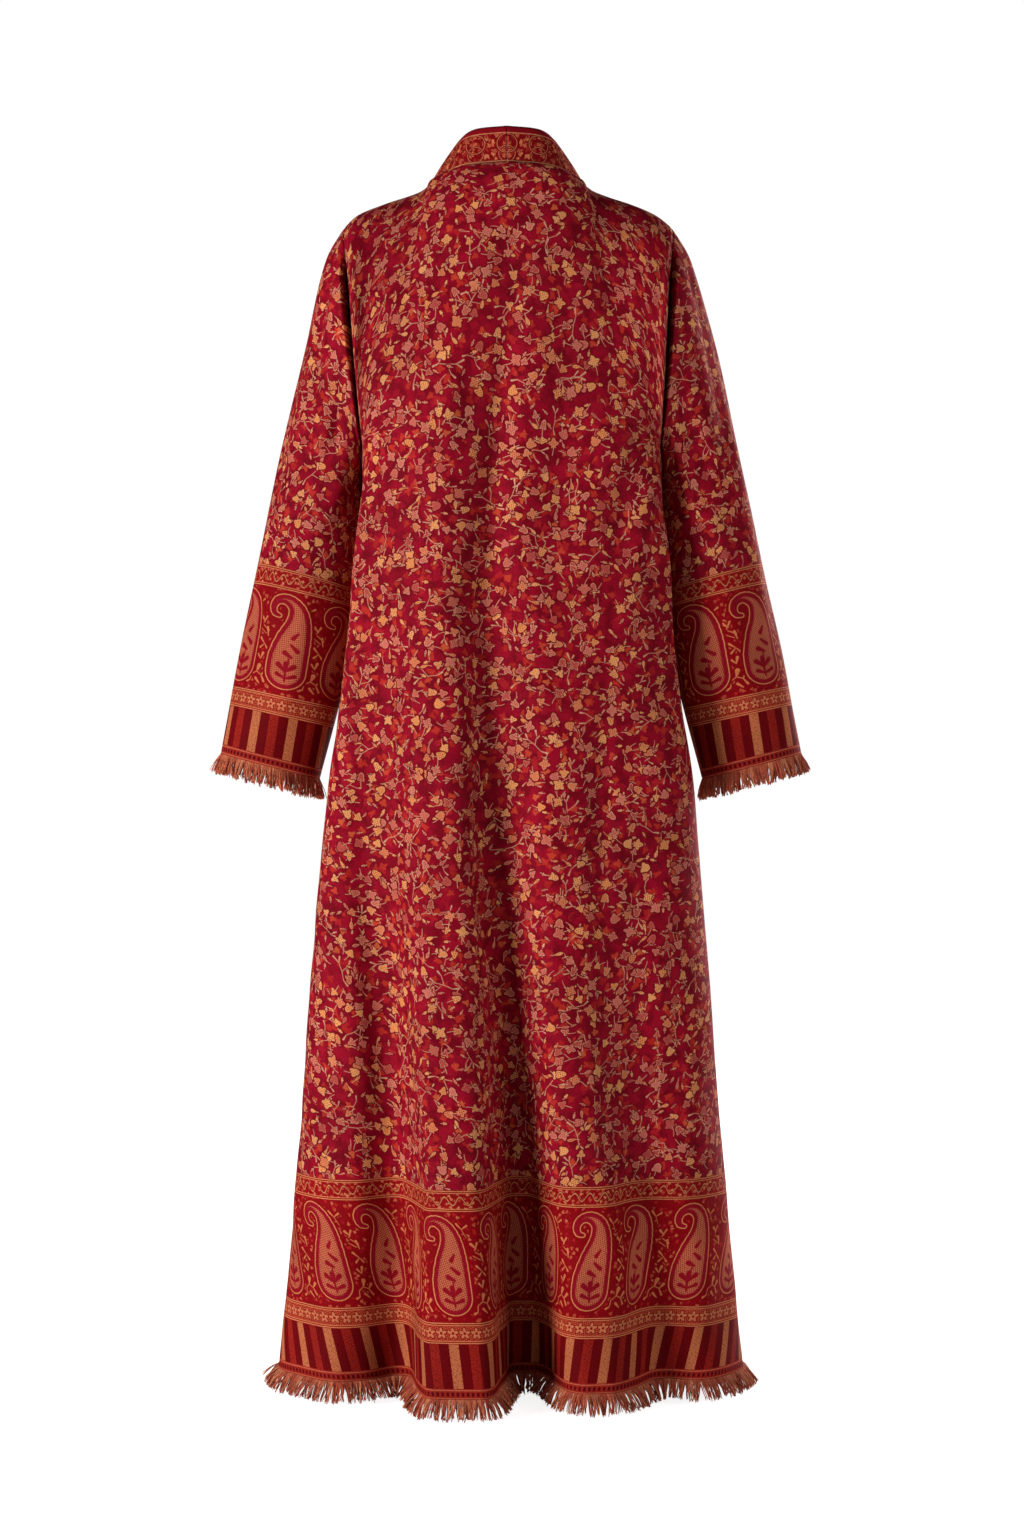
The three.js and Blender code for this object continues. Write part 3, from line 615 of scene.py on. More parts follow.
# Yarns hung along a cloth's edge in two rows, drawn together in locks that splay, lean and end unevenly.
def fringePiece(name, line, splay, seed):
    edge, outward, along = line
    yarn, rings = fringeYarn, fringeYarn["rings"]
    rng = np.random.default_rng(seed)
    total = along[-1] - along[0]
    perRow = int(total / yarn["spacing"])
    at = np.concatenate([np.linspace(start, total - start, perRow) for start in (0.4, 0.9)])
    layer = np.repeat([0.0, 1.0], perRow)
    at = np.clip(at + rng.uniform(-yarn["jitter"], yarn["jitter"], len(at)), 0.2, total - 0.2)
    root, out = [np.stack([np.interp(along[0] + at, along, part[:, k]) for k in range(3)], axis=-1)
                 for part in (edge, outward)]
    tangent = np.gradient(root[:perRow], axis=0)
    tangent = unit(np.concatenate([tangent, tangent]))
    down = np.cross(tangent, out)
    down *= np.where(down[:, 2:] > 0, -1, 1)
    if "Cuff" not in name:
        out[:, 2] = 0
    out = unit(out)
    down = unit(mix(down, np.array([0, 0, -1.0]), yarn["hang"]))

    # locks of uneven width, those of the second row half a lock along
    lock = np.floor((at + 1.3 * np.sin(at * 0.61 + seed)) / yarn["lockWidth"] + 0.5 * layer + 1).astype(int)
    lock += (layer * (lock.max() + 2)).astype(int)
    count = lock.max() + 1
    lockLean = rng.uniform(-yarn["lockLean"], yarn["lockLean"], count)[lock]
    lockSplay = rng.normal(0, yarn["lockSplay"], count)[lock]
    lockLength = rng.uniform(*yarn["lockLength"], count)[lock]
    lockShade = rng.uniform(0, 1, count)[lock]
    centre = np.bincount(lock, weights=at, minlength=count)[lock] / np.bincount(lock, minlength=count)[lock]
    gather = ((centre - at) * yarn["gather"] / (rings - 1))[:, None]
    first = splay["first"] + lockSplay - 7 * layer + rng.normal(0, 3, len(at))
    last = splay["last"] + lockSplay - 5 * layer + rng.normal(0, 4, len(at))
    step = (yarn["length"] * lockLength * rng.uniform(*yarn["lengthSpread"], len(at)))[:, None] / (rings - 1)

    # each yarn's middle line, from its root on the edge down to its tip
    shares = np.linspace(0, 1, rings)
    spine = np.zeros((len(at), rings, 3))
    spine[:, 0] = root - out * yarn["rootInside"] - down * yarn["rootAbove"]
    for ring in range(1, rings):
        angle = np.radians(mix(first, last, shares[ring]))[:, None]
        sway = (lockLean + 0.1 * rng.normal(0, 1, len(at)))[:, None] * shares[ring]
        way = down * np.cos(angle) + out * np.sin(angle) + tangent * sway
        spine[:, ring] = spine[:, ring - 1] + step * way + tangent * gather
    floor = floorZ + yarn["floorGap"] + 0.5 * rng.uniform(0, 1, len(at))
    spine[:, :, 2] = np.maximum(spine[:, :, 2], floor[:, None])
    radius = mix(yarn["rootRadius"], yarn["tipRadius"], shares)[None, :] * rng.uniform(0.85, 1.15, (len(at), 1))

    # the yarns themselves: copies of one shape, with their corners moved onto the middle lines
    shape = yarnShape()
    corners = np.array([vert.co[:] for vert in shape.vertices])
    ringOf = np.rint(corners[:, 2]).astype(int)
    twist = np.arctan2(corners[:, 1], corners[:, 0])[None, :] + rng.uniform(0, 6.28, len(at))[:, None]
    twist = (twist + ringOf[None, :] * yarn["twist"])[..., None]
    sideways = tangent[:, None, :] * np.cos(twist) + np.cross(tangent, down)[:, None, :] * np.sin(twist)
    verts = spine[:, ringOf] + sideways * radius[:, ringOf][..., None]
    bm = bmesh.new()
    for strand in range(len(at)):
        bm.from_mesh(shape)
    mesh = bpy.data.meshes.new(name)
    bm.to_mesh(mesh)
    bm.free()
    bpy.data.meshes.remove(shape)
    mesh.vertices.foreach_set("co", (verts * mm).astype(np.float32).ravel())
    shade = mesh.attributes.new("yarnShade", "FLOAT", "POINT")
    tone = np.clip(lockShade * 0.6 + rng.uniform(0, 0.4, len(at)), 0, 1)
    shade.data.foreach_set("value", np.repeat(tone, len(corners)).astype(np.float32))
    mesh.update()
    piece = bpy.data.objects.new(name, mesh)
    bpy.context.scene.collection.objects.link(piece)
    return piece


hemSplay = {"first": 50, "last": 26}
cuffSplay = {"first": 24, "last": 8}
fringes = {
    "fringe_back": fringePiece("fringeBack", hemLines["backCloth"], hemSplay, 11),
    "fringe_front_left": fringePiece("fringeFrontLeft", hemLines["frontLeftCloth"], hemSplay, 12),
    "fringe_front_right": fringePiece("fringeFrontRight", hemLines["frontRightCloth"], hemSplay, 13),
    "fringe_cuff_left": fringePiece("fringeCuffLeft", hemLines["sleeveLeftCloth"], cuffSplay, 14),
    "fringe_cuff_right": fringePiece("fringeCuffRight", hemLines["sleeveRightCloth"], cuffSplay, 15),
}

print("stage: materials")


# Every colour is an sRGB hex value until here.
def linear(hexColour):
    parts = [int(hexColour[k:k + 2], 16) / 255 for k in (1, 3, 5)]
    return [p / 12.92 if p <= 0.04045 else ((p + 0.055) / 1.055) ** 2.4 for p in parts] + [1]


# Adds a node with its settings and links: its first inputs in their order, the others by name or number. Gives back
# the one output that is live, or the node itself where several are.
def addNode(tree, kind, *inputs, named=None, **settings):
    node = tree.nodes.new("ShaderNode" + kind)
    for name, value in settings.items():
        setattr(node, name, value)
    for name, value in [*enumerate(inputs), *(named or {}).items()]:
        if isinstance(value, bpy.types.NodeSocket):
            tree.links.new(value, node.inputs[name])
        else:
            node.inputs[name].default_value = value
    live = [socket for socket in node.outputs if socket.enabled]
    return live[0] if len(live) == 1 else node


def startMaterial(name):
    material = bpy.data.materials.new(name)
    material.use_nodes = True
    tree = material.node_tree
    return material, tree, tree.nodes["Principled BSDF"]


# Where a point lies on its flat panel, in millimetres: right along X, up along Y.
def clothPlace(tree):
    cutMap = addNode(tree, "UVMap", uv_map="cutMap")
    return addNode(tree, "VectorMath", cutMap, named={"Scale": 1 / mm}, operation="SCALE")


# How much a value lies between two limits, with soft edges.
def between(tree, value, low, high, soft=0.5):
    middle, half = (low + high) / 2, (high - low) / 2
    away = addNode(tree, "Math", value, middle, operation="SUBTRACT")
    away = addNode(tree, "Math", away, operation="ABSOLUTE")
    return addNode(tree, "MapRange", away, half + soft / 2, half - soft / 2)


# Lays one colour over another by a share, or by a value that brings it in as it goes from low to high.
def laidOver(tree, under, colour, cover, low=None, high=None, most=1):
    if low is not None:
        cover = addNode(tree, "MapRange", cover, low, high, 0, most)
    under, colour = [linear(part) if isinstance(part, str) else part for part in (under, colour)]
    return addNode(tree, "Mix", cover, named={6: under, 7: colour}, data_type="RGBA")


# One of several yarn colours, picked by a random number. Where places are given the colours run into each other.
def pickedYarn(tree, number, colours, places=None):
    ramp = addNode(tree, "ValToRGB", number)
    if places is None:
        places = [index / len(colours) for index in range(len(colours))]
        ramp.color_ramp.interpolation = "CONSTANT"
    stops = ramp.color_ramp.elements
    for index, (place, colour) in enumerate(zip(places, colours)):
        stop = stops[index] if index < 2 else stops.new(place)
        stop.position = place
        stop.color = linear(colour)
    return ramp.outputs["Color"]


# Figures strewn over the cloth about this far apart: the place on a figure, turned its own way and brought to the
# size that the figure is drawn in, and the figure's own three random numbers.
def strewnFigures(tree, place, spacing, even, size=1):
    turns = 43.98 # seven whole turns over a random number's range
    scaled = addNode(tree, "VectorMath", place, named={"Scale": 1 / spacing}, operation="SCALE")
    cells = addNode(tree, "TexVoronoi", scaled, named={"Scale": 1, "Randomness": even}, voronoi_dimensions="2D")
    off = addNode(tree, "VectorMath", scaled, cells.outputs["Position"], operation="SUBTRACT")
    off = addNode(tree, "VectorMath", off, named={"Scale": spacing / size}, operation="SCALE")
    own = addNode(tree, "SeparateColor", cells.outputs["Color"]).outputs
    angle = addNode(tree, "Math", own[0], turns, operation="MULTIPLY")
    return addNode(tree, "VectorRotate", off, named={"Angle": angle}, rotation_type="Z_AXIS"), own


# Lobed leaves that narrow to a point: how far a place is inside a leaf's edge, the leaf's random numbers, and the
# place on it. Its numbers also settle how slim it is and how deep its lobes are cut.
def strewnLeaves(tree, place, spacing, radius, seed, lobes=5, even=0.8, slim=1.0):
    aside = addNode(tree, "VectorRotate", place, (seed * 37.3, seed * 71.9, 0), named={"Angle": seed * 0.37},
                    rotation_type="Z_AXIS")
    turned, own = strewnFigures(tree, aside, spacing, even)
    axes = addNode(tree, "SeparateXYZ", turned).outputs
    narrow = addNode(tree, "Math", own[1], 0.5 * slim, slim, operation="MULTIPLY_ADD")
    x, y = addNode(tree, "Math", axes[0], narrow, operation="MULTIPLY"), axes[1]
    away = addNode(tree, "VectorMath", addNode(tree, "CombineXYZ", x, y), operation="LENGTH")
    theta = addNode(tree, "Math", x, y, operation="ARCTAN2")
    wave = addNode(tree, "Math", theta, lobes / fullTurn, operation="MULTIPLY")
    wave = addNode(tree, "Math", wave, 0.5, operation="PINGPONG")
    notch = addNode(tree, "Math", own[2], 0.5, 0.85, operation="MULTIPLY_ADD")
    wave = addNode(tree, "Math", wave, notch, operation="MULTIPLY")
    tip = addNode(tree, "Math", theta, operation="COSINE")
    reach = addNode(tree, "Math", tip, 0.34, 1.0, operation="MULTIPLY_ADD")
    reach = addNode(tree, "Math", reach, wave, operation="SUBTRACT")
    reach = addNode(tree, "Math", reach, radius, operation="MULTIPLY")
    return addNode(tree, "Math", reach, away, operation="SUBTRACT"), own, turned


# Distance outside a figure drawn as lines of changing width, less than zero inside it. A line's points are given as
# right, up and half its width there.
def figureDistance(tree, place, lines):
    nearest = None
    for line in lines:
        for (startX, startY, startHalf), (endX, endY, endHalf) in zip(line[:-1], line[1:]):
            step = (endX - startX, endY - startY, 0)
            square = step[0] ** 2 + step[1] ** 2
            off = addNode(tree, "VectorMath", place, (startX, startY, 0), operation="SUBTRACT")
            slope = (step[0] / square, step[1] / square, 0)
            share = addNode(tree, "Clamp", addNode(tree, "VectorMath", off, slope, operation="DOT_PRODUCT"))
            foot = addNode(tree, "VectorMath", step, named={"Scale": share}, operation="SCALE")
            away = addNode(tree, "VectorMath", off, foot, operation="DISTANCE")
            half = addNode(tree, "Math", share, endHalf - startHalf, startHalf, operation="MULTIPLY_ADD")
            gap = addNode(tree, "Math", away, half, operation="SUBTRACT")
            nearest = gap if nearest is None else addNode(tree, "Math", nearest, gap, operation="MINIMUM")
    return nearest


# Shawl cloth of fine wool and silk, woven in many colours: matt with a soft bloom at grazing angles. The weave is
# drawn as floats of yarn about 2 mm apart, coarser than the real thread (about 0.4 mm), so that it shows in a
# picture of the whole garment. Yarns that cross inside a figure show as rows of small dark dots, drawn twice as
# coarse as the real ones for the same reason.
weave = {
    "floatPitch": 2.0, "floatStretch": 1.6, "floatSlant": 0.6, "floatDepth": 0.4, "dotsAcross": 3.0, "dotsUp": 3.4,
    "dotSlant": 0.5, "cloudScale": 0.011, "sheen": 0.015, "sheenColour": "#d98a78",
}


def weaveFloats(tree, place):
    pitch = weave["floatPitch"]
    slanted = addNode(tree, "VectorRotate", place, named={"Angle": weave["floatSlant"]}, rotation_type="Z_AXIS")
    scaled = addNode(tree, "VectorMath", slanted, (1 / pitch, 1 / (pitch * weave["floatStretch"]), 0),
                     operation="MULTIPLY")
    cells = addNode(tree, "TexVoronoi", scaled, named={"Scale": 1, "Randomness": 0.55}, voronoi_dimensions="2D")
    return cells.outputs["Distance"]


def yarnDots(tree, place):
    turned = addNode(tree, "VectorRotate", place, named={"Angle": weave["dotSlant"]}, rotation_type="Z_AXIS")
    waves = addNode(tree, "VectorMath", turned, (fullTurn / weave["dotsAcross"], fullTurn / weave["dotsUp"], 0),
                    operation="MULTIPLY")
    waves = addNode(tree, "SeparateXYZ", addNode(tree, "VectorMath", waves, operation="SINE")).outputs
    both = addNode(tree, "Math", waves[0], waves[1], operation="MULTIPLY")
    return addNode(tree, "MapRange", both, 0, 0.4)


def finishWoven(tree, surface, colour, place, floats):
    cloudy = addNode(tree, "TexNoise", place, named={"Scale": weave["cloudScale"], "Detail": 3},
                     noise_dimensions="2D")
    tone = addNode(tree, "MapRange", cloudy.outputs["Fac"], 0.3, 0.7, 0.88, 1.1)
    # each float is paler along its middle and darker where it meets the next: the weave's own texture, with painted
    # shade in the grooves between floats laid over their bump
    paintedGrooveShade = addNode(tree, "MapRange", floats, 0.1, 0.75, 1.08, 0.8)
    both = addNode(tree, "Math", tone, paintedGrooveShade, operation="MULTIPLY")
    toned = addNode(tree, "VectorMath", colour, named={"Scale": both}, operation="SCALE")
    rough = addNode(tree, "MapRange", floats, 0, 0.8, 0.66, 0.86)
    bump = addNode(tree, "Bump", named={"Height": floats, "Strength": 0.35, "Distance": weave["floatDepth"] * mm},
                   invert=True)
    for socket, name in ((toned, "Base Color"), (rough, "Roughness"), (bump, "Normal")):
        tree.links.new(socket, surface.inputs[name])
    surface.inputs["Sheen Weight"].default_value = weave["sheen"]
    surface.inputs["Sheen Roughness"].default_value = 0.4
    surface.inputs["Sheen Tint"].default_value = linear(weave["sheenColour"])
    surface.inputs["Specular IOR Level"].default_value = 0.05


# The all-over field: tonal leaves under paler ones, with stalks and forked twigs between. Sizes are in millimetres.
leafYarns = {
    "ground": "#8b061f", "groundDeep": "#6c0314", "vine": "#c08a6c", "rim": "#c98f70", "hatch": "#84181c",
    "tonal": ["#8e0c20", "#9e1a20", "#740418", "#ac2a20", "#80081e"],
    "leaf": ["#d0824c", "#b65c4c", "#c6704a", "#a6463e", "#d68e56", "#bc6656"],
    "rust": ["#b63a26", "#9c2018", "#b8502e", "#a42c1e"],
}
underLeaves = [
    {"spacing": 17, "radius": 5.8, "seed": 1, "lobes": 3, "colours": "tonal"},
    {"spacing": 20, "radius": 6.2, "seed": 2, "lobes": 5, "colours": "tonal"},
    {"spacing": 22, "radius": 5.2, "seed": 3, "lobes": 4, "colours": "rust"},
]
paleLeaves = [
    {"spacing": 17, "radius": 2.6, "seed": 9, "lobes": 3, "stalk": 4, "slim": 1.1},
    {"spacing": 28, "radius": 4.6, "seed": 5, "lobes": 2, "stalk": 7, "slim": 1.5},
    {"spacing": 30, "radius": 5.2, "seed": 8, "lobes": 4, "stalk": 9, "slim": 0.9},
    {"spacing": 32, "radius": 5.6, "seed": 7, "lobes": 3, "stalk": 10, "slim": 0.75},
    {"spacing": 36, "radius": 6.3, "seed": 6, "lobes": 5, "stalk": 12, "slim": 0.8},
]
twigs = [{"spacing": 56, "size": 0.9, "seed": 4}, {"spacing": 66, "size": 1.15, "seed": 5}]
twigLines = [ # a forked twig with slim buds at its ends
    [(-14, -6, 0.9), (-9.5, -2, 0.26), (-1, 0, 0.3), (7, 3.5, 0.26), (12, 9.5, 0.9)],
    [(-1, 0, 0.3), (6, -6, 0.26), (11, -7.5, 0.9)],
    [(7, 3.5, 0.26), (13, 3, 0.8)],
]


# A leaf's stalk, which bends away from its foot.
def leafStalk(tree, own, turned, length):
    axes = addNode(tree, "SeparateXYZ", turned).outputs
    run = addNode(tree, "Math", axes[1], -1, operation="MULTIPLY")
    bend = addNode(tree, "Math", own[2], 0.11, -0.055, operation="MULTIPLY_ADD")
    curve = addNode(tree, "Math", addNode(tree, "Math", run, 2, operation="POWER"), bend, operation="MULTIPLY")
    off = addNode(tree, "Math", axes[0], curve, operation="SUBTRACT")
    line = between(tree, off, -0.34, 0.34, 0.4)
    return addNode(tree, "Math", line, between(tree, run, 0, length), operation="MULTIPLY")


def leafField(tree, place):
    patch = addNode(tree, "TexNoise", place, named={"Scale": 0.05, "Detail": 2}, noise_dimensions="2D")
    dots = yarnDots(tree, place)
    colour = laidOver(tree, leafYarns["ground"], leafYarns["groundDeep"], patch.outputs["Fac"], 0.4, 0.65)
    for layer in underLeaves:
        inside, own, turned = strewnLeaves(tree, place, layer["spacing"], layer["radius"], layer["seed"],
                                           layer["lobes"])
        yarn = pickedYarn(tree, own[1], leafYarns[layer["colours"]])
        colour = laidOver(tree, colour, yarn, inside, -0.6, 0.8, 0.85)
    for layer in twigs:
        shift = (layer["seed"] * 53.7, layer["seed"] * 29.3, 0)
        shifted = addNode(tree, "VectorMath", place, shift, operation="ADD")
        turned, own = strewnFigures(tree, shifted, layer["spacing"], 0.75, layer["size"])
        gap = figureDistance(tree, turned, twigLines)
        colour = laidOver(tree, colour, leafYarns["vine"], gap, 0.3 / layer["size"], -0.25 / layer["size"])
    for layer in paleLeaves:
        inside, own, turned = strewnLeaves(tree, place, layer["spacing"], layer["radius"], layer["seed"],
                                           layer["lobes"], slim=layer["slim"])
        colour = laidOver(tree, colour, leafYarns["groundDeep"], inside, -1.9, -1.2) # a clear ring round each leaf
        colour = laidOver(tree, colour, leafYarns["vine"], leafStalk(tree, own, turned, layer["stalk"]))
        speckled = addNode(tree, "Math", own[1], 0.6, 0.3, operation="MULTIPLY_ADD")
        speckled = addNode(tree, "Math", dots, speckled, operation="MULTIPLY")
        heart = addNode(tree, "MapRange", inside, 0.5, 1.2)
        speckled = addNode(tree, "Math", speckled, heart, operation="MULTIPLY")
        yarn = laidOver(tree, pickedYarn(tree, own[0], leafYarns["leaf"]), leafYarns["hatch"], speckled)
        rim = addNode(tree, "Math", between(tree, inside, 0, 0.9), own[2], operation="MULTIPLY")
        yarn = laidOver(tree, yarn, leafYarns["rim"], rim)
        colour = laidOver(tree, colour, yarn, inside, -0.3, 0.3)
    return colour


def leafClothMaterial():
    material, tree, surface = startMaterial("shawlClothLeaves")
    place = clothPlace(tree)
    finishWoven(tree, surface, leafField(tree, place), place, weaveFloats(tree, place))
    return material


# The border's figures: a drop with a hooked head, by its middle line from the foot up; sprigs and buds for the
# space between two drops, with a scroll at the foot; and a sprig in flower inside a drop.
paisleyLine = [
    (3, 21, 21), (3, 36, 21), (5.7, 56, 18.2), (8.1, 70, 14.6), (8.6, 82, 11.8), (5.8, 93.5, 9.2), (-1, 100.5, 7.4),
    (-9, 102.6, 6.0), (-16.6, 99.4, 5.2), (-19.8, 92, 4.5), (-17.4, 85, 3.6), (-11.6, 83, 2.6),
]
sprigLines = [
    [(-17, 101, 1.4), (-12, 95, 0.5), (-8, 86, 0.45)], [(-12, 95, 0.5), (-6, 99, 1.3)],
    [(-10, 90, 0.5), (-16, 89, 1.2)], [(-4, 79, 1.7), (1, 74, 0.7)], [(3, 80, 1.3), (-1, 72, 0.6)],
    [(-3, 66, 0.6), (5, 61, 0.6)], [(0, 70, 0.6), (8, 65, 0.9)], [(6, 68, 1.5), (8, 59, 0.7)],
    [(-1, 55, 1.5), (5, 49, 0.5), (9, 44, 1.3)], [(5, 49, 0.5), (0, 44, 1.3)],
    [(5, 38, 1.8), (3, 31, 0.6)], [(-1, 36, 1.3), (3, 31, 0.6)],
    [(-6, 5, 0.7), (-5, 12, 0.7), (1, 16, 0.7), (7, 13, 0.7), (11, 6, 1.4)], [(1, 16, 0.7), (3, 23, 2.7)],
    [(7, 13, 0.7), (11, 18, 2.0)], [(-6, 5, 0.8), (-10, 3, 1.4)], [(1, 8, 1.6), (6, 3, 0.8)],
]
flowerLines = [
    [(4, 10, 0.8), (3, 22, 1.0), (5, 36, 0.6)], [(3, 21, 1.6), (3, 30, 2.8)], [(3, 21, 1.2), (-5, 28, 2.6)],
    [(3, 21, 1.2), (11, 28, 2.6)], [(4, 13, 0.8), (-5, 17, 2.1)], [(4, 13, 0.8), (13, 17, 2.1)],
    [(0, 42, 2.6), (7, 38, 1.2)], [(12, 46, 2.2), (5, 52, 1.2)], [(6, 60, 2.2), (10, 66, 1.0)],
]


# A line with twice its points, on a smooth curve through its own.
def smoothLine(line):
    data = np.array(line)
    slopes = np.gradient(data, axis=0)
    smooth = []
    for start, end, rise, settle in zip(data[:-1], data[1:], slopes[:-1], slopes[1:]):
        for share in (0, 0.5):
            gain = end - start
            bent = 3 * gain - 2 * rise - settle + share * (rise + settle - 2 * gain)
            smooth.append(tuple(float(part) for part in start + share * (rise + share * bent)))
    return smooth + [tuple(float(part) for part in data[-1])]


# The border's heights above the cloth's edge, in millimetres, how far apart its figures are, and its yarns.
borderBands = {
    "edge": (-3, 12), "stripes": (12, 60), "rosettes": (60, 84), "paisleyFoot": 91, "sprigFoot": 90,
    "floralHeight": 24, "rosetteRepeat": 13, "stemRepeat": 17, "stripeRepeat": 44, "squareRepeat": 5.6,
}
borderYarns = {
    "field": "#7e030c", "leaves": ["#a6422c", "#a21c1a", "#b0563a", "#90121a"], "figure": "#bf6a42",
    "outline": "#c67a4c", "ring": "#84081a", "heart": "#b66244", "heartDots": "#86161a", "flower": "#84081a",
    "floral": "#86080f", "floralLeaves": ["#b4563a", "#a8402c", "#be6e48"],
    "stemShade": "#74060c", "stem": "#c07a50", "rosetteField": "#8e1814", "rosetteDots": "#b0603c",
    "rosetteShade": "#72060e", "petal": "#ba6a46", "eye": "#820c14", "darkStripe": "#5f0106",
    "tanStripe": "#b0623e", "tanSpeck": "#a05234", "rustStripe": "#8a1c14", "rustSpeck": "#7c140f",
    "edge": "#8e2018", "edgeSquares": "#520308", "edgeLine": "#ac5c40",
}
bandLines = [ # fine lines along both sides of a band, by their distance from its middle
    (8.2, 9.1, "#be7049"), (9.1, 10.3, "#80060f"), (10.3, 11.3, "#c4784d"), (11.3, 12.4, "#7a050e"),
]
rosette = {"petals": 5, "radius": 6.6, "cut": 0.26}


# How far along the cloth a place is from the middle of the nearest figure in a row.
def alongRow(cloth, spacing, offset):
    moved = addNode(cloth["tree"], "Math", cloth["along"], offset, operation="SUBTRACT")
    return addNode(cloth["tree"], "Math", moved, -spacing / 2, spacing / 2, operation="WRAP")


# Paisleys in a row: a pale outline, a plain dark ring and a speckled heart with a dark sprig in flower on it. Paler
# sprigs stand between them on a clear ground, and small leaves are strewn over the rest.
def paisleyRow(cloth, row):
    tree, dots, yarns = cloth["tree"], cloth["dots"], borderYarns

    def figurePlace(offset, foot):
        across = addNode(tree, "Math", alongRow(cloth, row["pitch"], offset), 1 / row["widen"], operation="MULTIPLY")
        return addNode(tree, "CombineXYZ", across, addNode(tree, "Math", cloth["up"], foot, operation="SUBTRACT"))

    colour = yarns["field"]
    for seed, spacing, radius in ((31, 9, 2.5), (32, 12, 2.6)):
        inside, own, turned = strewnLeaves(tree, cloth["place"], spacing, radius, seed, lobes=4, even=0.9)
        colour = laidOver(tree, colour, pickedYarn(tree, own[1], yarns["leaves"]), inside, -0.3, 0.3)
    sprigPlace = figurePlace(row["shift"] + row["pitch"] / 2, borderBands["sprigFoot"])
    sprig = figureDistance(tree, sprigPlace, sprigLines)
    colour = laidOver(tree, colour, yarns["field"], sprig, 2.2, 1.2)
    colour = laidOver(tree, colour, yarns["figure"], sprig, 0.1, -0.45)
    cell = figurePlace(row["shift"], borderBands["paisleyFoot"])
    gap = figureDistance(tree, cell, [smoothLine(paisleyLine)])
    colour = laidOver(tree, colour, yarns["field"], gap, 3.4, 2.6)
    colour = laidOver(tree, colour, yarns["ring"], gap, 0.4, -0.4)
    heart = laidOver(tree, yarns["heart"], yarns["heartDots"], dots)
    flower = addNode(tree, "Math", dots, 0.7, figureDistance(tree, cell, flowerLines), operation="MULTIPLY_ADD")
    heart = laidOver(tree, heart, yarns["flower"], flower, 0.7, 0.1)
    fade = addNode(tree, "Math", dots, 3.2, gap, operation="MULTIPLY_ADD")
    colour = laidOver(tree, colour, heart, fade, -5.0, -6.4)
    return laidOver(tree, colour, yarns["outline"], between(tree, gap, -0.9, 0.2))


def withBandLines(tree, figure, height):
    side = addNode(tree, "Math", height, operation="ABSOLUTE")
    for near, far, shade in bandLines:
        figure = laidOver(tree, figure, shade, between(tree, side, near, far, 0.4))
    return figure


# Small leaves on both sides of a waving stem.
def floralBand(cloth, middle):
    tree, yarns = cloth["tree"], borderYarns
    height = addNode(tree, "Math", cloth["up"], middle, operation="SUBTRACT")
    wave = addNode(tree, "Math", cloth["along"], fullTurn / borderBands["stemRepeat"], operation="MULTIPLY")
    wave = addNode(tree, "Math", wave, operation="SINE")
    stem = addNode(tree, "Math", wave, -4.4, height, operation="MULTIPLY_ADD")
    inside, own, turned = strewnLeaves(tree, cloth["place"], 5.8, 2.4, 41, lobes=4, even=0.7)
    floral = laidOver(tree, yarns["floral"], pickedYarn(tree, own[0], yarns["floralLeaves"]), inside, -0.3, 0.3)
    floral = laidOver(tree, floral, yarns["stemShade"], between(tree, stem, -1.7, 1.7))
    floral = laidOver(tree, floral, yarns["stem"], between(tree, stem, -0.7, 0.7))
    return withBandLines(tree, floral, height)


# Rosettes of five petals round an eye, on a speckled ground.
def rosetteBand(cloth, middle):
    tree, yarns = cloth["tree"], borderYarns
    height = addNode(tree, "Math", cloth["up"], middle, operation="SUBTRACT")
    spot = addNode(tree, "CombineXYZ", alongRow(cloth, borderBands["rosetteRepeat"], 0), height)
    parts = addNode(tree, "SeparateXYZ", spot).outputs
    theta = addNode(tree, "Math", parts[0], parts[1], operation="ARCTAN2")
    wave = addNode(tree, "Math", theta, rosette["petals"], operation="MULTIPLY")
    wave = addNode(tree, "Math", wave, operation="COSINE")
    reach = addNode(tree, "Math", wave, rosette["radius"] * rosette["cut"],
                    rosette["radius"] * (1 - rosette["cut"]), operation="MULTIPLY_ADD")
    away = addNode(tree, "VectorMath", spot, operation="LENGTH")
    petal = addNode(tree, "Math", reach, away, operation="SUBTRACT")
    speck = addNode(tree, "Math", cloth["dots"], 0.7, operation="MULTIPLY")
    rosettes = laidOver(tree, yarns["rosetteField"], yarns["rosetteDots"], speck)
    rosettes = laidOver(tree, rosettes, yarns["rosetteShade"], petal, -1.3, -0.6)
    rosettes = laidOver(tree, rosettes, yarns["petal"], petal, 0.1, 0.7)
    rosettes = laidOver(tree, rosettes, yarns["eye"], between(tree, away, -1.6, 1.6))
    return withBandLines(tree, rosettes, height)


# Upright stripes in tan and rust on a dark ground.
def stripeBand(cloth, middle):
    tree, yarns = cloth["tree"], borderYarns
    stripe = addNode(tree, "Math", cloth["along"], cloth["stripeShift"], operation="SUBTRACT")
    stripe = addNode(tree, "Math", stripe, 0, borderBands["stripeRepeat"], operation="WRAP")
    speck = addNode(tree, "MapRange", cloth["floats"], 0.25, 0.6)
    stripes = yarns["darkStripe"]
    for yarn, near, far in (("tan", 0.6, 11.4), ("rust", 22.6, 33.4)):
        speckled = laidOver(tree, yarns[yarn + "Stripe"], yarns[yarn + "Speck"], speck)
        stripes = laidOver(tree, stripes, speckled, between(tree, stripe, near, far))
    return stripes


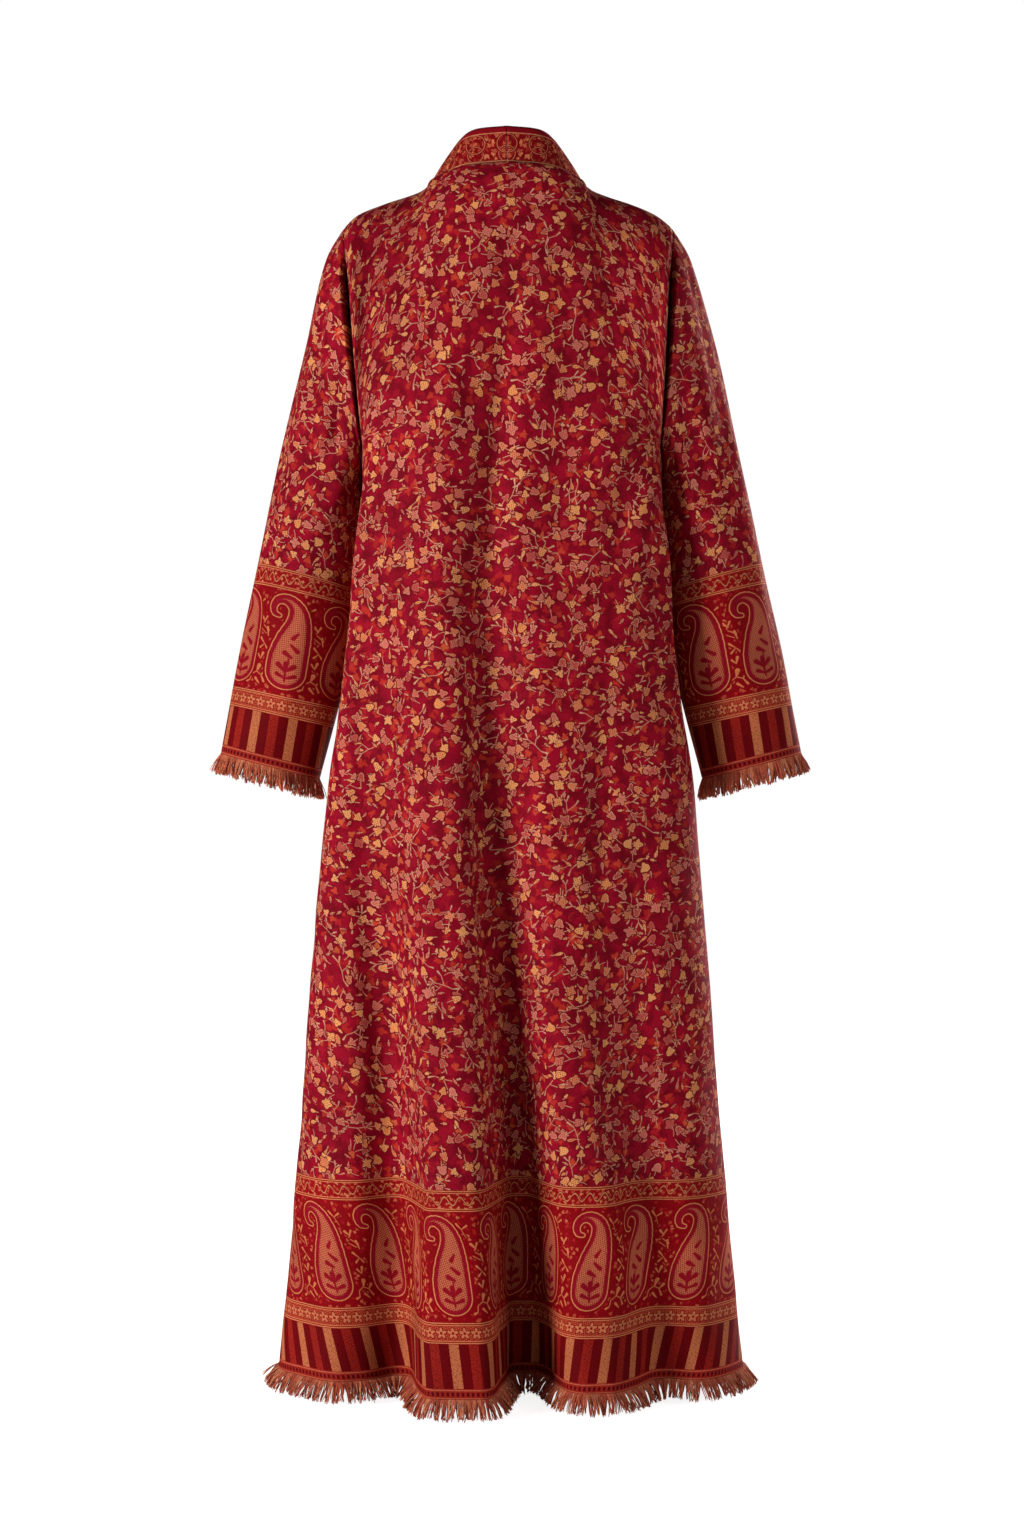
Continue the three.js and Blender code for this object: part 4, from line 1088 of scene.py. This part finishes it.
# The edge band, with a row of dark squares between two fine lines.
def edgeBand(cloth, middle):
    tree, yarns = cloth["tree"], borderYarns
    square = between(tree, alongRow(cloth, borderBands["squareRepeat"], 0), -1.6, 1.6)
    square = addNode(tree, "Math", square, between(tree, cloth["up"], 3.8, 8), operation="MULTIPLY")
    edge = laidOver(tree, yarns["edge"], yarns["edgeSquares"], square)
    for near, far in ((1.2, 2.2), (9.8, 10.8)):
        edge = laidOver(tree, edge, yarns["edgeLine"], between(tree, cloth["up"], near, far, 0.4))
    return edge


# The woven border, which is the same on the hem and the cuffs but for the width and place of its figures.
def borderCloth(name, row, top):
    material, tree, surface = startMaterial(name)
    place = clothPlace(tree)
    floats = weaveFloats(tree, place)
    dots = yarnDots(tree, place)
    along, up = addNode(tree, "SeparateXYZ", place).outputs[:2]
    cloth = {"tree": tree, "place": place, "along": along, "up": up, "dots": dots, "floats": floats,
             "stripeShift": row["stripeShift"]}
    colour = paisleyRow(cloth, row)
    floral = (top - borderBands["floralHeight"], top)
    for makeBand, band in ((floralBand, floral), (rosetteBand, borderBands["rosettes"]),
                           (stripeBand, borderBands["stripes"]), (edgeBand, borderBands["edge"])):
        figure = makeBand(cloth, sum(band) / 2)
        colour = laidOver(tree, colour, figure, between(tree, up, *band, 0.3))
    finishWoven(tree, surface, colour, place, floats)
    return material


# The collar's own band: plain dark edges, fine lines and a floral figure that is the same on both halves.
collarYarns = {
    "field": "#7a060e", "leaves": ["#b8583a", "#a44430", "#c46a46", "#92221a"], "ringShade": "#70060e",
    "ring": "#b86a48", "edge": "#800816", "line": "#c88058",
}
collarBands = {
    "leaves": [(51, 8.5, 3.4, 5), (52, 7, 2.3, 4), (53, 10, 3.2, 3)], # seed, spacing, radius and lobes
    "ringRepeat": 36, "rings": [(12, 9), (24, 11)], # height of the middle, and radius
    "edges": [(37, 60), (-5, 4.6)], "lines": [(35.8, 36.8), (0.6, 1.5), (3.4, 4.3)],
}


def collarMaterial():
    material, tree, surface = startMaterial("collarBandCloth")
    place = clothPlace(tree)
    axes = addNode(tree, "SeparateXYZ", place).outputs
    mirrored, up = addNode(tree, "Math", axes[0], operation="ABSOLUTE"), axes[1]
    same = addNode(tree, "CombineXYZ", mirrored, up)
    colour = collarYarns["field"]
    for seed, spacing, radius, lobes in collarBands["leaves"]:
        inside, own, turned = strewnLeaves(tree, same, spacing, radius, seed, lobes=lobes, even=0.75)
        colour = laidOver(tree, colour, pickedYarn(tree, own[0], collarYarns["leaves"]), inside, -0.3, 0.3)
    half = collarBands["ringRepeat"] / 2
    scroll = addNode(tree, "Math", mirrored, -half, half, operation="WRAP")
    spot = addNode(tree, "CombineXYZ", scroll, up)
    for middle, radius in collarBands["rings"]:
        away = addNode(tree, "VectorMath", spot, (0, middle, 0), operation="DISTANCE")
        for yarn, reach in (("ringShade", 1.5), ("ring", 0.4)):
            colour = laidOver(tree, colour, collarYarns[yarn], between(tree, away, radius - reach, radius + reach))
    for yarn, bands in (("edge", collarBands["edges"]), ("line", collarBands["lines"])):
        for low, high in bands:
            colour = laidOver(tree, colour, collarYarns[yarn], between(tree, up, low, high, 0.4))
    finishWoven(tree, surface, colour, place, weaveFloats(tree, place))
    return material


# Twisted wool yarn in rust and tan: fully matt and hairy, so it catches light softly all round.
twistedYarn = {
    "colours": ["#802414", "#a6442c", "#be6a48", "#d08a64"], "places": [0, 0.35, 0.7, 1],
    "plyScale": 900, "roughness": 0.9, "sheen": 0.15, "specular": 0.2,
}


def fringeMaterial():
    material, tree, surface = startMaterial("twistedWoolYarn")
    shade = addNode(tree, "Attribute", attribute_name="yarnShade")
    colour = pickedYarn(tree, shade.outputs["Fac"], twistedYarn["colours"], twistedYarn["places"])
    place = addNode(tree, "TexCoord").outputs["Object"]
    plies = addNode(tree, "TexNoise", place, named={"Scale": twistedYarn["plyScale"], "Detail": 2})
    tone = addNode(tree, "MapRange", plies.outputs["Fac"], 0.3, 0.7, 0.75, 1.15)
    toned = addNode(tree, "VectorMath", colour, named={"Scale": tone}, operation="SCALE")
    tree.links.new(toned, surface.inputs["Base Color"])
    surface.inputs["Roughness"].default_value = twistedYarn["roughness"]
    surface.inputs["Sheen Weight"].default_value = twistedYarn["sheen"]
    surface.inputs["Specular IOR Level"].default_value = twistedYarn["specular"]
    return material


hemRow = {"pitch": 68, "widen": 1.0, "shift": -72, "stripeShift": -18}
cuffRow = {"pitch": 67, "widen": 1.17, "shift": 5, "stripeShift": 0}
leafCloth = leafClothMaterial()
hemBorder = borderCloth("shawlClothHemBorder", hemRow, borderTop["backCloth"])
cuffBorder = borderCloth("shawlClothCuffBorder", cuffRow, borderTop["sleeveLeftCloth"])
collarCloth = collarMaterial()
fringeWool = fringeMaterial()

for node, piece in pieces.items():
    if node.startswith("collar"):
        piece.data.materials.append(collarCloth)
    else:
        piece.data.materials.append(leafCloth)
        piece.data.materials.append(cuffBorder if node.startswith("sleeve") else hemBorder)
    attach(piece, "root")
    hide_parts(node)
for node, piece in fringes.items():
    piece.data.materials.append(fringeWool)
    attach(piece, "root")
    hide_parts(node)

print("stage: floor, light and camera")

studio = {
    "cameraDistance": 3.1, "cameraHeight": -0.663, "cameraAside": -0.0012, "seenHeight": 1.782, "sensor": 36,
    "floorSize": 9, "floorBelow": 0.2, "floorWhite": 0.86, "floorRoughness": 0.9, "skyLight": 0.13,
}
studioLights = [ # the last is for views of the front
    {"name": "softKey", "size": 1.5, "power": 194, "place": (3.1, 2.3, -0.85), "target": (0, 0, -0.7)},
    {"name": "softFill", "size": 2.4, "power": 45, "place": (-3.1, 1.9, -0.5), "target": (0, 0, -0.8)},
    {"name": "softFront", "size": 2.4, "power": 150, "place": (-2.8, -2.7, -0.4), "target": (0, 0, -0.75)},
]

for light in studioLights:
    lamp = bpy.data.lights.new(light["name"], "AREA")
    lamp.shape = "SQUARE"
    lamp.size = light["size"]
    lamp.energy = light["power"]
    holder = bpy.data.objects.new(light["name"], lamp)
    holder.location = light["place"]
    way = unit(np.array(light["target"], float) - light["place"])
    holder.rotation_euler = (math.acos(-way[2]), 0, math.atan2(way[1], way[0]) - math.pi / 2)
    bpy.context.scene.collection.objects.link(holder)

world = bpy.data.worlds.new("paleRoom")
bpy.context.scene.world = world
world.use_nodes = True
sky = world.node_tree
backdrop = sky.nodes["Background"]
seen = addNode(sky, "LightPath").outputs["Is Camera Ray"]
brightness = addNode(sky, "MapRange", seen, 0, 1, studio["skyLight"], 1)
backdrop.inputs["Color"].default_value = (1, 1, 1, 1)
sky.links.new(brightness, backdrop.inputs["Strength"])

bm = bmesh.new()
bmesh.ops.create_grid(bm, x_segments=1, y_segments=1, size=studio["floorSize"] / 2)
bmesh.ops.translate(bm, vec=(0, 0, (floorZ - studio["floorBelow"]) * mm), verts=bm.verts[:])
floorMesh = bpy.data.meshes.new("studioFloor")
bm.to_mesh(floorMesh)
bm.free()
floor = bpy.data.objects.new("studioFloor", floorMesh)
bpy.context.scene.collection.objects.link(floor)
# matt paper that looks as white as the backdrop
floorPaper, floorTree, floorSurface = startMaterial("mattWhitePaper")
floorSurface.inputs["Base Color"].default_value = (studio["floorWhite"],) * 3 + (1,)
floorSurface.inputs["Roughness"].default_value = studio["floorRoughness"]
floorSurface.inputs["Emission Color"].default_value = (1, 1, 1, 1)
floorSeen = addNode(floorTree, "LightPath").outputs["Is Camera Ray"]
whitened = addNode(floorTree, "Math", floorSeen, studio["floorWhite"], operation="MULTIPLY")
floorTree.links.new(whitened, floorSurface.inputs["Emission Strength"])
floorMesh.materials.append(floorPaper)

camera = bpy.data.cameras.new("backView")
camera.sensor_width = studio["sensor"]
camera.lens = studio["sensor"] * studio["cameraDistance"] / studio["seenHeight"]
viewer = bpy.data.objects.new("backView", camera)
viewer.location = (studio["cameraAside"], studio["cameraDistance"], studio["cameraHeight"])
viewer.rotation_euler = (math.pi / 2, 0, math.pi)
bpy.context.scene.collection.objects.link(viewer)
bpy.context.scene.camera = viewer
bpy.context.scene.view_settings.view_transform = "Standard"
